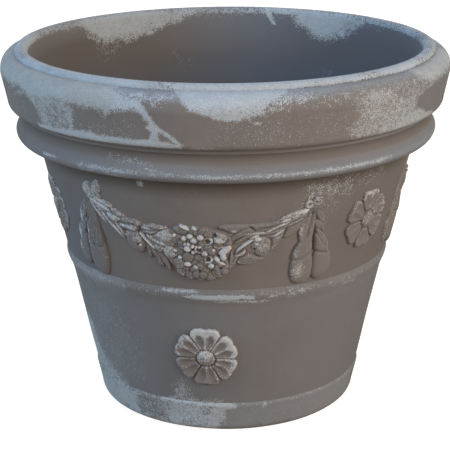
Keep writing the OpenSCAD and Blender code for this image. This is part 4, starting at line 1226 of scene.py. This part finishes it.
# Ground and light
# A plain pale floor under soft light, cool from the left and warm from the
# right, with a white background. Lengths are in metres here.
floor_size = 14
floor_tint = (0.5, 0.41, 0.32, 1)
floor_glow = 0.84
room_tint = (0.93, 0.97, 1.0, 1)
room_light = 0.06
paving = bpy.data.meshes.new("ground")
paving.from_pydata(
    [(x * floor_size, y * floor_size, 0) for x, y in ((-1, -1), (1, -1), (1, 1), (-1, 1))], [], [(0, 1, 2, 3)]
)
ground = bpy.data.objects.new("ground", paving)
bpy.context.scene.collection.objects.link(ground)
white = bpy.data.materials.new("white_ground")
white.use_nodes = True
ground_shader = white.node_tree.nodes["Principled BSDF"]
ground_shader.inputs["Base Color"].default_value = floor_tint
ground_shader.inputs["Roughness"].default_value = 0.9
ground_shader.inputs["Specular IOR Level"].default_value = 0.1
ground_shader.inputs["Emission Color"].default_value = (1, 1, 1, 1)
rays = node_of(white, "ShaderNodeLightPath")
glow = span(white, rays.outputs["Is Camera Ray"], 0, 1, 0, floor_glow, smooth=False)
join(white, glow, ground_shader.inputs["Emission Strength"])
paving.materials.append(white)

world = bpy.data.worlds.new("white_room")
bpy.context.scene.world = world
world.use_nodes = True
tree = world.node_tree
sky = tree.nodes["Background"]
sky.inputs["Color"].default_value = room_tint
sky.inputs["Strength"].default_value = room_light
backdrop = tree.nodes.new("ShaderNodeBackground")
backdrop.inputs["Color"].default_value = (1, 1, 1, 1)
backdrop.inputs["Strength"].default_value = 1.0
seen = tree.nodes.new("ShaderNodeLightPath")
either = tree.nodes.new("ShaderNodeMath")
either.operation = "MAXIMUM"
tree.links.new(seen.outputs["Is Camera Ray"], either.inputs[0])
tree.links.new(seen.outputs["Is Glossy Ray"], either.inputs[1])
chosen = tree.nodes.new("ShaderNodeMixShader")
tree.links.new(either.outputs[0], chosen.inputs[0])
tree.links.new(sky.outputs[0], chosen.inputs[1])
tree.links.new(backdrop.outputs[0], chosen.inputs[2])
tree.links.new(chosen.outputs[0], tree.nodes["World Output"].inputs["Surface"])


def softbox(name, place, size, watts, colour, aim=(0, 0, 0.22)):
    """A square lamp that faces the pot."""
    lamp = bpy.data.objects.new(name, bpy.data.lights.new(name, "AREA"))
    lamp.data.size = size
    lamp.data.energy = watts
    lamp.data.color = colour
    lamp.location = place
    lamp.rotation_euler = (Vector(aim) - Vector(place)).to_track_quat("-Z", "Y").to_euler()
    bpy.context.scene.collection.objects.link(lamp)


softbox("cool_left", (-2.4, -0.9, 1.2), 1.6, 60, (0.42, 0.685, 1.0))
softbox("day_right", (2.2, -1.8, 1.3), 1.6, 76, (0.92, 0.96, 1.0))
softbox("warm_front", (0.3, -2.8, 1.8), 1.6, 20, (1.0, 0.84, 0.84))
softbox("sky_above", (0, 0.5, 2.4), 2.0, 14, (0.49, 0.65, 1.0))
softbox("room_behind", (0.4, 2.7, 1.5), 1.6, 24, (0.85, 0.92, 1.0))
bpy.context.scene.view_settings.view_transform = "Standard"
